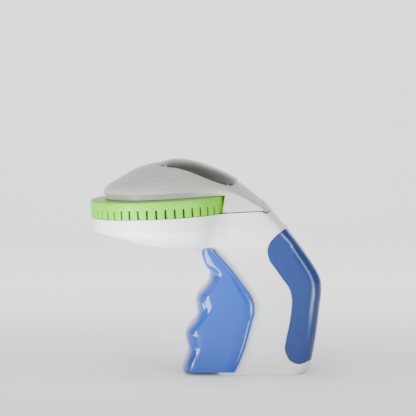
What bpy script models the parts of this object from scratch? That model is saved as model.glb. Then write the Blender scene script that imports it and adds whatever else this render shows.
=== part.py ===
"""Embossing label maker: pistol-shaped body, character wheel, lever trigger, hinged dome cover."""
import math

import bmesh
import bpy
from mathutils import Matrix, Vector

MM = 0.001

# head frame: its plane is the split between cover and body, its axis is the wheel's
HEAD_X = -69.1
HEAD_Z = 99.0
HEAD_TILT = math.atan(0.048)

# wall and gaps
WALL = 2.6
SPLIT_GAP = 0.3
SEAM_GAP = 0.35

# character wheel
PETALS = 49
WHEEL_R = 44.0
WHEEL_TOP = 10.6
SLOT_H = 5.6
SLOT_W = 1.0
SLOT_PHASE = 0.39

# tape track beside the spindle
TRACK_Y = 9.0
TAPE_W = 9.0
TAPE_T = 0.25
TAPE_Z = -0.75
ROLL_R = 13.7
ROLL_X = 56.8
ROLL_Z = -17.2

# trigger
PIVOT_X = 30.55
PIVOT_Z = -28.9
TRIG_HALF = 20.5
TRIG_WALL = 2.2
TRIG_LOW = 2.0
TRIG_GAP = 0.8

# press
PLUNGER_X = 39.4
ROLLER_X = 47.0

# cover hinge, in the head frame
HINGE_X = 64.5
HINGE_Z = 1.4
HINGE_R = 2.8

# handle, from the base up: height, rear edge
HANDLE_REAR = [(-6, 15.0), (0, 18.4), (1.6, 20.6), (5.3, 22.6), (15.2, 24.8), (29.5, 27.0),
               (43.0, 28.5), (54.9, 29.5), (61.1, 27.9), (68.5, 23.6), (78.4, 16.7),
               (89.0, 8.7), (97.0, 2.5), (102.6, -2.5), (110.0, -9.5)]
# height, front edge
HANDLE_FRONT = [(-6, -34.0), (64, -34.0), (66, -36.0), (70, -39.2), (71.5, -40.4), (76.5, -40.4),
                (79.0, -41.5), (86, -46.0), (91, -48.0), (110, -48.0)]
# height, half width
HANDLE_HALF = [(-6, 17.4), (0, 17.4), (30, 17.6), (77, 17.6), (79, 18.3), (82, 19.8), (86, 21.8),
               (90, 23.1), (93, 23.5), (110, 23.5)]
# hollow curve where the neck runs into the head
FILLET_R = 8.0
FILLET_X = -26.9
FILLET_REACH = 6.4
HANDLE_LEVELS = [-6, 1.6, 5.3, 15.2, 29.5, 43, 54.9, 61.1, 64, 66, 71.5, 76.5, 79, 82, 86, 91, 97,
                 102.6, 107]

# bowl depth below the seam plane along the head's length
BOWL_R = 43.9
BOWL_WALL_D = 9.0
BOWL_DRAFT = 1.3
BOWL_DEPTH = [(-44, 8.6), (-42, 10.4), (-35.4, 13.2), (-25.3, 16.2), (-12.7, 19.6), (-7, 20.8),
              (0, 22.0), (12.7, 24.8), (20, 27.8), (26.3, 31.0), (35, 35.0), (44, 37.0)]

# trigger, height and front edge, then height and rear edge
TRIG_FRONT = [(0, -56.1), (1.6, -56.1), (6.5, -55.4), (9.6, -54.3), (13.3, -53.0), (15.8, -52.8),
              (20.2, -53.9), (24.5, -54.4), (28.2, -53.0), (31.3, -50.5), (34.4, -48.1),
              (38.1, -47.0), (41.2, -47.2), (45.3, -47.9), (48.7, -46.8), (52.1, -44.0),
              (56.1, -40.9), (59.2, -39.5), (62.3, -39.5), (66.0, -40.9), (70, -42.6),
              (72.2, -43.4), (75, -44.3), (80, -44.5)]
TRIG_REAR = [(0, -25.0), (1.7, -24.1), (8.6, -20.6), (17.5, -17.4), (27.6, -14.6), (33.9, -13.0),
             (39.0, -11.6), (42.8, -11.6), (47.2, -12.7), (50.4, -14.3), (55.4, -17.9),
             (61.8, -22.6), (68.1, -27.7), (73.2, -32.3), (76.0, -34.9), (80.0, -37.4)]
TRIG_LEVELS = [TRIG_LOW, 6.5, 9.6, 13.3, 15.8, 18, 20.2, 24.5, 28.2, 31.3, 34.4, 38.1, 41.2, 45.3,
               48.7, 52.1, 56.1, 59.2, 62.3, 66.0, 70, 72.2, 75.4, 78.2]

# cover: ridge height along the head, in the head frame
RIDGE = [(0, 31.75), (4, 31.95), (8.0, 32.05), (15.4, 31.4), (22.9, 29.8), (30.1, 27.1),
         (37.4, 23.8), (44.7, 19.8), (51.3, 15.2), (57.8, 9.5), (63.2, 4.3), (66.7, 0.4)]
COVER_R = 35.6
COVER_RIM = 14.3
COVER_LOW = 10.9
DOME = [(0, 31.75), (6.5, 30.9), (13.5, 29.0), (21.0, 25.4), (29.1, 21.1), (33.5, 18.2),
        (35.1, 16.2), (35.6, 14.3)]
RIM_FALL = [(0, 14.3), (30, 14.3), (37.4, 13.5), (44.7, 11.5), (51.3, 8.0), (57.8, 4.2),
            (63.2, 1.2), (66.7, 0.4)]
COVER_HALF = [(13.7, 32.86), (20, 30.35), (28, 27.2), (34, 24.8), (38, 23.6), (42, 23.5),
              (59.6, 23.5), (62, 23.1), (63.2, 22.5), (65, 21.0), (66.7, 18.0)]
COVER_STATIONS = [6, 13.7, 19, 24.5, 30.1, 37.4, 44.7, 51.3, 57.8, 60.5, 62.6]
# window in plan, from its front tip to its rear end: along the head, half width
WINDOW = [(-1.0, 0.0), (-0.5, 5.0), (0.7, 9.0), (2.7, 11.8), (6.0, 13.3), (10.5, 14.3),
          (15.5, 15.4), (21.0, 16.9), (27.0, 18.2), (33.0, 18.7), (39.0, 18.6), (42.6, 17.5),
          (44.9, 14.8), (46.6, 10.0), (47.8, 5.0), (48.2, 0.0)]
LENS_PROUD = 0.7
LENS_CROWN = 0.9
# the lens starts flush at its front tip and rises over this length
LENS_TIP = -1.0
LENS_RISE = 9.0
LENS_REACH = 19.5
LENS_WALL = 1.5
LENS_SEAT = 1.75
LENS_GAP = 0.25
# clearance round the wheel: it leans outwards, so the cover's cut edge slants
ROOM_LOW = 44.5
ROOM_HIGH = 46.2

# rear grip pad, front edge in side view
PAD_EDGE = [(8.1, 90.9), (5.6, 89.9), (1.5, 86.9), (-2.0, 82.8), (-3.5, 78.6), (-3.5, 75.0),
            (-2.0, 70.3), (1.5, 65.5), (5.6, 59.6), (9.2, 54.9), (11.0, 50.1), (11.5, 45.4),
            (11.0, 39.4), (9.8, 31.1), (8.0, 22.8), (7.2, 16.7), (8.2, 12.8), (10.5, 9.0),
            (14.9, 7.0), (18.3, 7.2), (21.0, 8.2), (45.0, 12.0), (45.0, 106.8), (12.0, 92.6)]
PAD_PROUD = 0.5
PAD_IN = 1.0

BOSS_R = 3.9
CAP_GAP = 0.7
CAP_REAR = 14.6
CAP_T = 2.2
BOWL_UNDERCUT = 1.4
SCREWS = [(-86.0, 88.0), (-52.0, 86.5), (10.0, 66.0), (14.0, 38.0), (-26.0, 14.0)]


def head_matrix():
    """Matrix from the head frame to the world, in metres."""
    turn = Matrix.Rotation(-HEAD_TILT, 4, "Y")
    move = Matrix.Translation(Vector((HEAD_X * MM, 0.0, HEAD_Z * MM)))
    return move @ turn


HEAD = head_matrix()


def clear_scene():
    for item in list(bpy.data.objects):
        bpy.data.objects.remove(item, do_unlink=True)


def material(name, colour, rough, metal=0.0, alpha=1.0):
    mat = bpy.data.materials.new(name)
    mat.use_nodes = True
    shader = mat.node_tree.nodes["Principled BSDF"]
    shader.inputs["Base Color"].default_value = (colour[0], colour[1], colour[2], 1.0)
    shader.inputs["Roughness"].default_value = rough
    shader.inputs["Metallic"].default_value = metal
    shader.inputs["Alpha"].default_value = alpha
    mat.diffuse_color = (colour[0], colour[1], colour[2], alpha)
    return mat


def lerp(table, value):
    """Piecewise linear reading of a table of pairs."""
    if value <= table[0][0]:
        return table[0][1]
    for (a, fa), (b, fb) in zip(table, table[1:]):
        if value <= b:
            return fa + (fb - fa) * (value - a) / (b - a)
    return table[-1][1]


def slope(table, value):
    return (lerp(table, value + 1.5) - lerp(table, value - 1.5)) / 3.0


def make(name, verts, faces, mat=None, head=False):
    """Object from vertices in millimetres; head=True places it from the head frame."""
    mesh = bpy.data.meshes.new(name)
    mesh.from_pydata([Vector(v) * MM for v in verts], [], faces)
    obj = bpy.data.objects.new(name, mesh)
    bpy.context.scene.collection.objects.link(obj)
    if head:
        mesh.transform(HEAD)
    fix_normals(obj)
    if mat:
        mesh.materials.append(mat)
    return obj


def fix_normals(obj):
    bm = bmesh.new()
    bm.from_mesh(obj.data)
    bmesh.ops.recalc_face_normals(bm, faces=bm.faces)
    bm.to_mesh(obj.data)
    bm.free()


def finish(obj, mat, angle=38.0):
    """One material, smooth faces with sharp edges kept."""
    obj.data.materials.clear()
    obj.data.materials.append(mat)
    for poly in obj.data.polygons:
        poly.material_index = 0
    obj.data.shade_smooth()
    obj.data.set_sharp_from_angle(angle=math.radians(angle))
    return obj


def drop(obj):
    bpy.data.objects.remove(obj, do_unlink=True)


def combine(obj, other, how):
    """Boolean applied at once; the other object is used up."""
    mod = obj.modifiers.new(how.lower(), "BOOLEAN")
    mod.operation = how
    mod.solver = "EXACT"
    mod.object = other
    graph = bpy.context.evaluated_depsgraph_get()
    mesh = bpy.data.meshes.new_from_object(obj.evaluated_get(graph))
    obj.modifiers.remove(mod)
    old = obj.data
    obj.data = mesh
    bpy.data.meshes.remove(old)
    drop(other)
    tidy_mesh(obj)
    return obj


def tidy_mesh(obj):
    bm = bmesh.new()
    bm.from_mesh(obj.data)
    bmesh.ops.remove_doubles(bm, verts=bm.verts, dist=0.00002)
    bmesh.ops.dissolve_degenerate(bm, edges=bm.edges, dist=0.00001)
    bm.to_mesh(obj.data)
    bm.free()


def copy_of(obj, name):
    twin = obj.copy()
    twin.data = obj.data.copy()
    twin.name = name
    bpy.context.scene.collection.objects.link(twin)
    return twin


def loft(name, rings, mat=None, head=False):
    """Closed solid through rings with equal point counts."""
    count = len(rings[0])
    verts = [point for ring in rings for point in ring]
    faces = []
    for level in range(len(rings) - 1):
        base = level * count
        for i in range(count):
            j = (i + 1) % count
            faces.append((base + i, base + j, base + count + j, base + count + i))
    faces.append(tuple(range(count)))
    faces.append(tuple(range((len(rings) - 1) * count, len(rings) * count)))
    return make(name, verts, faces, mat, head)


def box(name, low, high, mat=None, head=False):
    x0, y0, z0 = low
    x1, y1, z1 = high
    rings = [[(x0, y0, z), (x1, y0, z), (x1, y1, z), (x0, y1, z)] for z in (z0, z1)]
    return loft(name, rings, mat, head)


def prism(name, outline, y0, y1, mat=None, head=False):
    """Side-view outline of (x, z) points drawn out along Y."""
    rings = [[(x, y, z) for x, z in outline] for y in (y0, y1)]
    return loft(name, rings, mat, head)


def rod_y(name, x, z, radius, y0, y1, sides=20, mat=None, head=False):
    outline = circle(x, z, radius, sides)
    return prism(name, outline, y0, y1, mat, head)


def circle(x, z, radius, sides, start=0.0):
    step = 2.0 * math.pi / sides
    return [(x + radius * math.cos(start + i * step), z + radius * math.sin(start + i * step))
            for i in range(sides)]


def lathe(name, profile, sides, mat=None, x=0.0, y=0.0, head=True):
    """Ring or solid turned about the head's axis from (radius, height) points."""
    verts = []
    index = {}
    for k, (r, z) in enumerate(profile):
        for i in range(sides):
            turn = 2.0 * math.pi * i / sides
            if r == 0.0 and i > 0:
                index[(i, k)] = index[(0, k)]
                continue
            index[(i, k)] = len(verts)
            verts.append((x + r * math.cos(turn), y + r * math.sin(turn), z))
    faces = []
    count = len(profile)
    for i in range(sides):
        j = (i + 1) % sides
        for k in range(count):
            m = (k + 1) % count
            corners = [index[(i, k)], index[(j, k)], index[(j, m)], index[(i, m)]]
            face = [c for n, c in enumerate(corners) if c not in corners[:n]]
            if len(face) > 2:
                faces.append(tuple(face))
    return make(name, verts, faces, mat, head)


def tube_y(name, x, z, r_in, r_out, y0, y1, sides=32, mat=None, head=True):
    """Hollow cylinder along Y."""
    verts = []
    for i in range(sides):
        turn = 2.0 * math.pi * i / sides
        c = math.cos(turn)
        s = math.sin(turn)
        for r, y in ((r_in, y0), (r_out, y0), (r_out, y1), (r_in, y1)):
            verts.append((x + r * c, y, z + r * s))
    faces = []
    for i in range(sides):
        a = i * 4
        b = ((i + 1) % sides) * 4
        for k in range(4):
            m = (k + 1) % 4
            faces.append((a + k, b + k, b + m, a + m))
    return make(name, verts, faces, mat, head)


def coil(name, start, axis, side, length, radius, wire, turns, mat):
    """Round-wire spring from start along axis."""
    axis = Vector(axis).normalized()
    side = Vector(side).normalized()
    other = axis.cross(side)
    steps = turns * 8
    ring = 5
    rings = []
    for i in range(steps + 1):
        turn = 2.0 * math.pi * i / 8
        out = side * math.cos(turn) + other * math.sin(turn)
        centre = Vector(start) + axis * (length * i / steps) + out * radius
        points = []
        for k in range(ring):
            lean = 2.0 * math.pi * k / ring
            points.append(centre + (out * math.cos(lean) + axis * math.sin(lean)) * wire)
        rings.append([tuple(p) for p in points])
    return loft(name, rings, mat)


def cut_plane(obj, point, normal):
    """Remove what lies on the normal's side of a plane and close the cut."""
    bm = bmesh.new()
    bm.from_mesh(obj.data)
    geom = bm.verts[:] + bm.edges[:] + bm.faces[:]
    cut = bmesh.ops.bisect_plane(bm, geom=geom, dist=0.000001, plane_co=point, plane_no=normal,
                                 clear_outer=True)
    edges = [e for e in cut["geom_cut"] if isinstance(e, bmesh.types.BMEdge)]
    bmesh.ops.triangle_fill(bm, use_beauty=True, use_dissolve=True, edges=edges)
    bmesh.ops.recalc_face_normals(bm, faces=bm.faces)
    bm.to_mesh(obj.data)
    bm.free()


def arc(cx, cy, radius, a0, a1, count):
    points = []
    for i in range(count):
        turn = math.radians(a0 + (a1 - a0) * i / (count - 1))
        points.append((cx + radius * math.cos(turn), cy + radius * math.sin(turn)))
    return points


def handle_ring(z, grow):
    """Plan section of the handle at a height, grown outwards by grow."""
    lean = math.sqrt(1.0 + slope(HANDLE_REAR, z) ** 2)
    rear = lerp(HANDLE_REAR, z) + grow * lean
    front = lerp(HANDLE_FRONT, z) - grow
    half = lerp(HANDLE_HALF, z) + grow
    r_rear = 8.0 + grow
    r_front = 4.0 + grow
    right = arc(rear - r_rear, half - r_rear, r_rear, 0, 90, 5)
    flare = max(0.0, min(1.0, (z - 80.0) / 7.0)) * (0.0 if grow < -1.5 else 1.0)
    start = rear - r_rear
    reach = front + r_front - start
    sides = []
    for part in (0.3, 0.6, 0.74, 0.87):
        x = start + reach * part
        over = max(0.0, min(FILLET_REACH, FILLET_X - x))
        rise = FILLET_R - math.sqrt(FILLET_R * FILLET_R - over * over)
        sides.append((x, half + rise * flare))
    nose = arc(front + r_front, half - r_front, r_front, 90, 180, 3)
    upper = right + sides + nose
    lower = [(x, -y) for x, y in reversed(upper)]
    return [(x, y, z) for x, y in upper + lower]


def handle_solid(name, grow):
    return loft(name, [handle_ring(z, grow) for z in HANDLE_LEVELS])


def bowl_solid(name, grow, top):
    """Lower half of the head: drafted wall, then a rounded underside on a rising keel."""
    sides = 44
    rings = []
    wall = BOWL_WALL_D
    for part in (0.0, 0.5, 1.0):
        ring = []
        for i in range(sides):
            turn = 2.0 * math.pi * i / sides
            r = BOWL_R + grow - BOWL_DRAFT * part
            x = r * math.cos(turn)
            deep = min(wall, lerp(BOWL_DEPTH, x) - BOWL_UNDERCUT)
            z = top if part == 0.0 else -deep * part
            ring.append((x, r * math.sin(turn), z))
        rings.append(ring)
    for lean in (16, 32, 48, 64, 80):
        ring = []
        for i in range(sides):
            turn = 2.0 * math.pi * i / sides
            r = (BOWL_R + grow - BOWL_DRAFT) * math.cos(math.radians(lean))
            x = r * math.cos(turn)
            full = lerp(BOWL_DEPTH, x)
            deep = min(wall, full - BOWL_UNDERCUT)
            z = -deep - (full + grow - deep) * math.sin(math.radians(lean))
            ring.append((x, r * math.sin(turn), z))
        rings.append(ring)
    return loft(name, rings, head=True)


def shell_solid():
    """Both halves of the housing before they are split."""
    outer = handle_solid("outer", 0.0)
    combine(outer, bowl_solid("bowl", 0.0, 4.0), "UNION")
    cut_plane(outer, HEAD @ Vector((0, 0, -SEAM_GAP * MM)), HEAD.to_3x3() @ Vector((0, 0, 1)))
    cut_plane(outer, Vector((0, 0, 0)), Vector((0, 0, -1)))
    inner = handle_solid("inner", -WALL)
    combine(inner, bowl_solid("bowl_in", -2.1, 6.0), "UNION")
    combine(outer, inner, "DIFFERENCE")
    return outer


def pad_prism(name, grow):
    """Block whose side view is the grip pad's outline."""
    points = []
    for x, z in PAD_EDGE:
        points.append((x - grow, z + grow if z > 50 else z - grow))
    return prism(name, points, -30, 30)


def pad_pocket():
    pocket = pad_prism("pocket", 0.3)
    combine(pocket, handle_solid("pocket_core", -PAD_IN - 0.2), "DIFFERENCE")
    return pocket


def grip_pad(mat):
    pad = pad_prism("back_grip_pad", 0.0)
    combine(pad, handle_solid("pad_out", PAD_PROUD), "INTERSECT")
    combine(pad, handle_solid("pad_in", -PAD_IN), "DIFFERENCE")
    return finish(pad, mat, 50)


def body_shells(mat):
    shell = shell_solid()
    combine(shell, pad_pocket(), "DIFFERENCE")
    groove = rod_y("groove", HINGE_X, HINGE_Z, HINGE_R + 0.35, -26, 26, 28, head=True)
    combine(shell, groove, "DIFFERENCE")
    window = box("arm_window", (-44, 4.7, 65.5), (-34.0, 13.3, 75.6))
    combine(shell, window, "DIFFERENCE")
    pivot = rod_y("pivot_hole", PIVOT_X, PIVOT_Z, 2.08, -19, 19, 20, head=True)
    combine(shell, pivot, "DIFFERENCE")
    notch = box("exit_notch", (-48, 3.4, -2.4), (-38, 14.6, 2), head=True)
    combine(shell, notch, "DIFFERENCE")
    left = copy_of(shell, "left_body_shell")
    right = shell
    right.name = "right_body_shell"
    gap = SPLIT_GAP / 2
    combine(left, box("keep_left", (-130, -60, -5), (60, -gap, 130)), "INTERSECT")
    combine(right, box("keep_right", (-130, gap, -5), (60, 60, 130)), "INTERSECT")
    for x, z in SCREWS:
        half = wall_half(x, z)
        boss = tube_y("boss", x, z, 1.6, 3.3, -half, -0.4, 12, head=False)
        combine(left, boss, "UNION")
        boss = rod_y("boss", x, z, BOSS_R, 0.4, half, 12)
        combine(right, boss, "UNION")
        combine(right, rod_y("bore", x, z, 1.7, -1, 60, 12), "DIFFERENCE")
        combine(right, rod_y("well", x, z, 3.1, 5.0, 60, 14), "DIFFERENCE")
    reel = tube_y("reel_boss", ROLL_X, ROLL_Z, 1.98, 3.6, 15.4, 19.9, 20, head=True)
    combine(right, reel, "UNION")
    knuckle(left, -4.2, -gap)
    knuckle(right, gap, 4.2)
    finish(left, mat)
    finish(right, mat)


def wall_half(x, z):
    """Half width of the housing's side wall at a point of the side view, mid wall."""
    if x > -42:
        return lerp(HANDLE_HALF, z) - 1.5
    r = BOWL_R - BOWL_DRAFT
    here = abs(x - HEAD_X)
    depth = HEAD_Z + (x - HEAD_X) * 0.048 - z + BOSS_R
    full = lerp(BOWL_DEPTH, x - HEAD_X)
    if depth <= BOWL_WALL_D:
        return math.sqrt(r * r - here * here) - 1.3
    rise = (depth - BOWL_WALL_D) / (full - BOWL_WALL_D)
    reach = r * math.sqrt(max(0.0, 1.0 - rise * rise))
    return math.sqrt(max(1.0, reach * reach - here * here)) - 2.5


def knuckle(shell, y0, y1):
    """Hinge eye on the housing's rear edge."""
    eye = rod_y("eye", HINGE_X, HINGE_Z, HINGE_R, y0, y1, 24, head=True)
    web = prism("web", [(HINGE_X - 2.6, HINGE_Z), (HINGE_X + 1.6, HINGE_Z),
                        (HINGE_X + 2.0, -4.6), (HINGE_X - 1.8, -6.4)], y0, y1, head=True)
    combine(eye, web, "UNION")
    cut_plane(eye, HEAD @ Vector((63.2 * MM, 0, 4.3 * MM)),
              HEAD.to_3x3() @ Vector((0.744, 0, 0.668)))
    combine(shell, eye, "UNION")
    combine(shell, rod_y("pin_way", HINGE_X, HINGE_Z, 0.95, -20, 20, 16, head=True), "DIFFERENCE")


def base_cap(mat):
    rings = []
    for z in (0.0, CAP_T):
        ring = []
        for x, y, _ in handle_ring(0.0, -WALL - CAP_GAP):
            ring.append((min(x, CAP_REAR), y, z))
        rings.append(ring)
    cap = loft("base_cap", rings)
    return finish(cap, mat)


def screws(mat):
    for index, (x, z) in enumerate(SCREWS):
        name = "body_screw_%d" % (index + 1)
        shank = rod_y(name, x, z, 1.5, -9.0, 6.0, 10)
        combine(shank, rod_y("screw_head", x, z, 2.9, 5.2, 7.0, 14), "UNION")
        slot = box("screw_slot", (x - 3.5, 6.2, z - 0.4), (x + 3.5, 8.0, z + 0.4))
        combine(shank, slot, "DIFFERENCE")
        finish(shank, mat)


def cover_half(x):
    if x < 13.7:
        return math.sqrt(COVER_R * COVER_R - x * x)
    return lerp(COVER_HALF, x)


def cover_surface(name, sink, low, lens):
    """Outer face of the cover as an open sheet with its side walls, sunk inwards by sink.

    For the lens it is raised as well, most along the middle and not at the front tip.
    """
    def lift(x, y):
        if not lens:
            return 0.0
        rise = max(0.0, min(1.0, (x - LENS_TIP) / LENS_RISE))
        return rise * (LENS_PROUD + LENS_CROWN * max(0.0, 1.0 - (y / LENS_REACH) ** 2))

    scale = (COVER_R - sink) / COVER_R
    rings = [(r * scale, z - sink * min(1.0, (COVER_R - r) / 3.0 + 0.15)) for r, z in DOME[1:]]
    top = DOME[0][1] - sink
    verts = [(0.0, 0.0, top + lift(0.0, 0.0))]
    faces = []
    span = 22
    count = len(rings)
    index = {}
    for i in range(span + 1):
        turn = math.radians(90.0 + 180.0 * i / span)
        for k, (r, z) in enumerate(rings):
            index[("f", i, k)] = len(verts)
            x = r * math.cos(turn)
            y = r * math.sin(turn)
            verts.append((x, y, z + lift(x, y)))
    for i in range(span):
        faces.append((0, index[("f", i, 0)], index[("f", i + 1, 0)]))
        for k in range(count - 1):
            faces.append((index[("f", i, k)], index[("f", i, k + 1)],
                          index[("f", i + 1, k + 1)], index[("f", i + 1, k)]))
    shape = [(z - COVER_RIM) / (DOME[0][1] - COVER_RIM) for _, z in DOME]
    spread = [r / COVER_R for r, _ in DOME]
    previous = [index[("f", 0, k)] for k in reversed(range(count))] + [0]
    previous += [index[("f", span, k)] for k in range(count)]
    for x in COVER_STATIONS:
        half = cover_half(x) - sink
        ridge = lerp(RIDGE, x)
        rim = lerp(RIM_FALL, x)
        row = []
        order = [(-1, k) for k in reversed(range(1, count + 1))] + [(1, 0)]
        order += [(1, k) for k in range(1, count + 1)]
        for sign, k in order:
            here = sink * min(1.0, (1.0 - spread[k]) * 12.0 + 0.15)
            row.append(len(verts))
            y = -sign * half * spread[k]
            verts.append((x, y, rim + (ridge - rim) * shape[k] - here + lift(x, y)))
        for a in range(len(row) - 1):
            faces.append((previous[a], previous[a + 1], row[a + 1], row[a]))
        previous = row
    obj = make(name, verts, faces)
    bm = bmesh.new()
    bm.from_mesh(obj.data)
    rim_edges = [e for e in bm.edges if e.is_boundary]
    grown = bmesh.ops.extrude_edge_only(bm, edges=rim_edges)
    for v in grown["geom"]:
        if isinstance(v, bmesh.types.BMVert):
            v.co.z = low * MM
    bmesh.ops.recalc_face_normals(bm, faces=bm.faces)
    bm.to_mesh(obj.data)
    bm.free()
    return obj


def cover_solid(name, sink, low, lens=False):
    """Cover shape filled solid down to a level."""
    obj = cover_surface(name, sink, low, lens)
    bm = bmesh.new()
    bm.from_mesh(obj.data)
    edges = [e for e in bm.edges if e.is_boundary]
    bmesh.ops.triangle_fill(bm, use_beauty=True, use_dissolve=True, edges=edges)
    bmesh.ops.recalc_face_normals(bm, faces=bm.faces)
    bm.to_mesh(obj.data)
    bm.free()
    obj.data.transform(HEAD)
    return obj


def window_outline(grow):
    """Plan outline of the window, moved outwards by grow."""
    points = WINDOW + [(x, -y) for x, y in reversed(WINDOW[1:-1])]
    moved = []
    for i, (x, y) in enumerate(points):
        before = Vector(points[i - 1])
        after = Vector(points[(i + 1) % len(points)])
        along = (after - before).normalized()
        moved.append((x - along.y * grow, y + along.x * grow))
    return moved


def window_prism(name, grow):
    outline = window_outline(grow)
    rings = [[(x, y, z) for x, y in outline] for z in (10.0, 45.0)]
    return loft(name, rings, head=True)


def top_cover(mat):
    cover = cover_solid("top_cover", 0.0, 0.3)
    combine(cover, cover_solid("cover_in", 2.0, -4.0), "DIFFERENCE")
    clearance = lathe("wheel_room", [(0.0, -3.0), (ROOM_LOW, -3.0), (ROOM_LOW, 0.3),
                                     (ROOM_HIGH, COVER_LOW), (0.0, COVER_LOW)], 72)
    combine(cover, clearance, "DIFFERENCE")
    combine(cover, window_prism("window_hole", LENS_GAP), "DIFFERENCE")
    barrel = rod_y("barrel", HINGE_X, HINGE_Z, HINGE_R, -18, 18, 24, head=True)
    cut_plane(barrel, HEAD @ Vector((63.2 * MM, 0, 4.3 * MM)),
              HEAD.to_3x3() @ Vector((0.744, 0, 0.668)))
    combine(cover, barrel, "UNION")
    combine(cover, rod_y("eye_room", HINGE_X, HINGE_Z, HINGE_R + 0.5, -4.6, 4.6, 24, head=True),
            "DIFFERENCE")
    combine(cover, rod_y("pin_way", HINGE_X, HINGE_Z, 0.95, -17, 17, 16, head=True), "DIFFERENCE")
    return finish(cover, mat)


def view_window(mat):
    """Raised lens: a bulged cap with side walls that stand in the cover's opening."""
    lens = cover_solid("view_window", 0.0, -4.0, True)
    combine(lens, window_prism("lens_edge", 0.0), "INTERSECT")
    room = cover_solid("lens_room", LENS_WALL, -6.0, True)
    combine(room, window_prism("lens_inset", -LENS_WALL), "INTERSECT")
    combine(lens, room, "DIFFERENCE")
    combine(lens, cover_solid("lens_under", LENS_SEAT, -6.0), "DIFFERENCE")
    return finish(lens, mat)


def slot_cutters(name, inner, outer, low, high, width):
    """All the radial slots as one mesh of separate blocks."""
    verts = []
    faces = []
    for i in range(PETALS):
        turn = 2.0 * math.pi * (i + SLOT_PHASE) / PETALS
        c = math.cos(turn)
        s = math.sin(turn)
        base = len(verts)
        for z in (low, high):
            for r, w in ((inner, -1), (outer, -1), (outer, 1), (inner, 1)):
                y = w * width / 2
                verts.append((r * c - y * s, r * s + y * c, z))
        faces.append((base, base + 3, base + 2, base + 1))
        faces.append((base + 4, base + 5, base + 6, base + 7))
        for k in range(4):
            m = (k + 1) % 4
            faces.append((base + k, base + m, base + 4 + m, base + 4 + k))
    return make(name, verts, faces, head=True)


def character_wheel(mat):
    profile = [(4.15, 9.0), (4.15, WHEEL_TOP), (43.3, WHEEL_TOP), (WHEEL_R, 9.9), (WHEEL_R, 0.0),
               (42.3, 0.0), (42.3, 9.0)]
    wheel = lathe("character_wheel", profile, PETALS * 2)
    combine(wheel, slot_cutters("slots", 41.0, 46.0, -1.0, SLOT_H, SLOT_W), "DIFFERENCE")
    set_origin(wheel, HEAD @ Vector((0, 0, 5 * MM)))
    return finish(wheel, mat, 30)


def die_ring(mat):
    ring = lathe("die_ring", [(38.8, 0.4), (41.5, 0.4), (41.5, 8.7), (38.8, 8.7)], PETALS)
    set_origin(ring, HEAD @ Vector((0, 0, 5 * MM)))
    return finish(ring, mat, 30)


def punch_wheel(mat):
    wheel = lathe("punch_wheel", [(4.15, -2.7), (4.15, -1.3), (40.7, -1.3), (40.7, -2.7)], PETALS)
    combine(wheel, slot_cutters("slits", 33.0, 43.0, -4.0, 0.5, 0.9), "DIFFERENCE")
    set_origin(wheel, HEAD @ Vector((0, 0, -2 * MM)))
    return finish(wheel, mat, 30)


def wheel_hub(mat):
    profile = [(2.58, -2.9), (4.05, -2.9), (4.05, 0.5), (9.0, 0.5), (9.0, 8.8), (4.05, 8.8),
               (4.05, 11.4), (2.58, 11.4)]
    hub = lathe("wheel_hub", profile, 24, mat)
    return finish(hub, mat)


def wheel_spindle(mat):
    profile = [(0.0, -7.0), (4.5, -7.0), (4.5, -5.6), (2.5, -5.6), (2.5, 12.6), (1.9, 12.6),
               (1.9, 13.6), (2.5, 13.6), (2.5, 14.4), (0.0, 14.4)]
    spindle = lathe("wheel_spindle", profile, 24, mat)
    return finish(spindle, mat)


def spindle_clip(mat):
    clip = lathe("spindle_clip", [(2.0, 12.75), (5.2, 12.75), (5.2, 13.45), (2.0, 13.45)], 20, mat)
    return finish(clip, mat)


def wheel_deck(mat):
    deck = lathe("wheel_deck", [(2.6, -5.4), (40.6, -5.4), (40.6, -3.9), (2.6, -3.9)], 48)
    combine(deck, box("deck_gap", (30.5, -17, -8), (50, 17.5, 0), head=True), "DIFFERENCE")
    return finish(deck, mat)


def detent_spring(mat):
    outline = [(-26, -3.75), (-12, -3.75), (-12, -3.45), (-16, -3.4), (-19, -2.85), (-20, -2.85),
               (-23, -3.4), (-26, -3.45)]
    leaf = prism("detent_spring", outline, -3.5, 3.5, mat, True)
    return finish(leaf, mat)


def exit_guide(mat):
    guide = box("label_exit_guide", (-43.3, 3.7, -2.1), (-41.5, 14.3, -0.45), mat, True)
    combine(guide, box("label_gap", (-46, 4.3, -1.25), (-38, 13.7, 1.0), head=True), "DIFFERENCE")
    return finish(guide, mat)


def tape_leader(mat):
    low = TRACK_Y - TAPE_W / 2
    rings = []
    path = [(ROLL_X - 1.6, ROLL_Z + ROLL_R + 0.12), (ROLLER_X + 0.6, TAPE_Z - 0.02),
            (ROLLER_X - 4, TAPE_Z), (-42.8, TAPE_Z)]
    for x, z in path:
        rings.append([(x, low, z), (x, low + TAPE_W, z), (x, low + TAPE_W, z + TAPE_T),
                      (x, low, z + TAPE_T)])
    return finish(loft("tape_leader", rings, mat, True), mat)


def press_frame(mat):
    side = [(44.7, -8.0), (48.9, -8.0), (48.9, 4.6), (47.4, 8.5), (44.9, 12.0), (36.0, 12.0), (36.0, 11.1),
            (44.7, 11.1)]
    frame = prism("press_frame", side, 0.4, 1.6, head=True)
    combine(frame, prism("far_plate", side, 16.4, 17.6, head=True), "UNION")
    combine(frame, box("anvil_bar", (36.4, 1.0, 11.15), (44.6, 17.0, 11.95), head=True), "UNION")
    for z in (-3.4, 2.0):
        hole = rod_y("axle_hole", ROLLER_X, z, 0.98, -1, 19, 16, head=True)
        combine(frame, hole, "DIFFERENCE")
    return finish(frame, mat)


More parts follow.
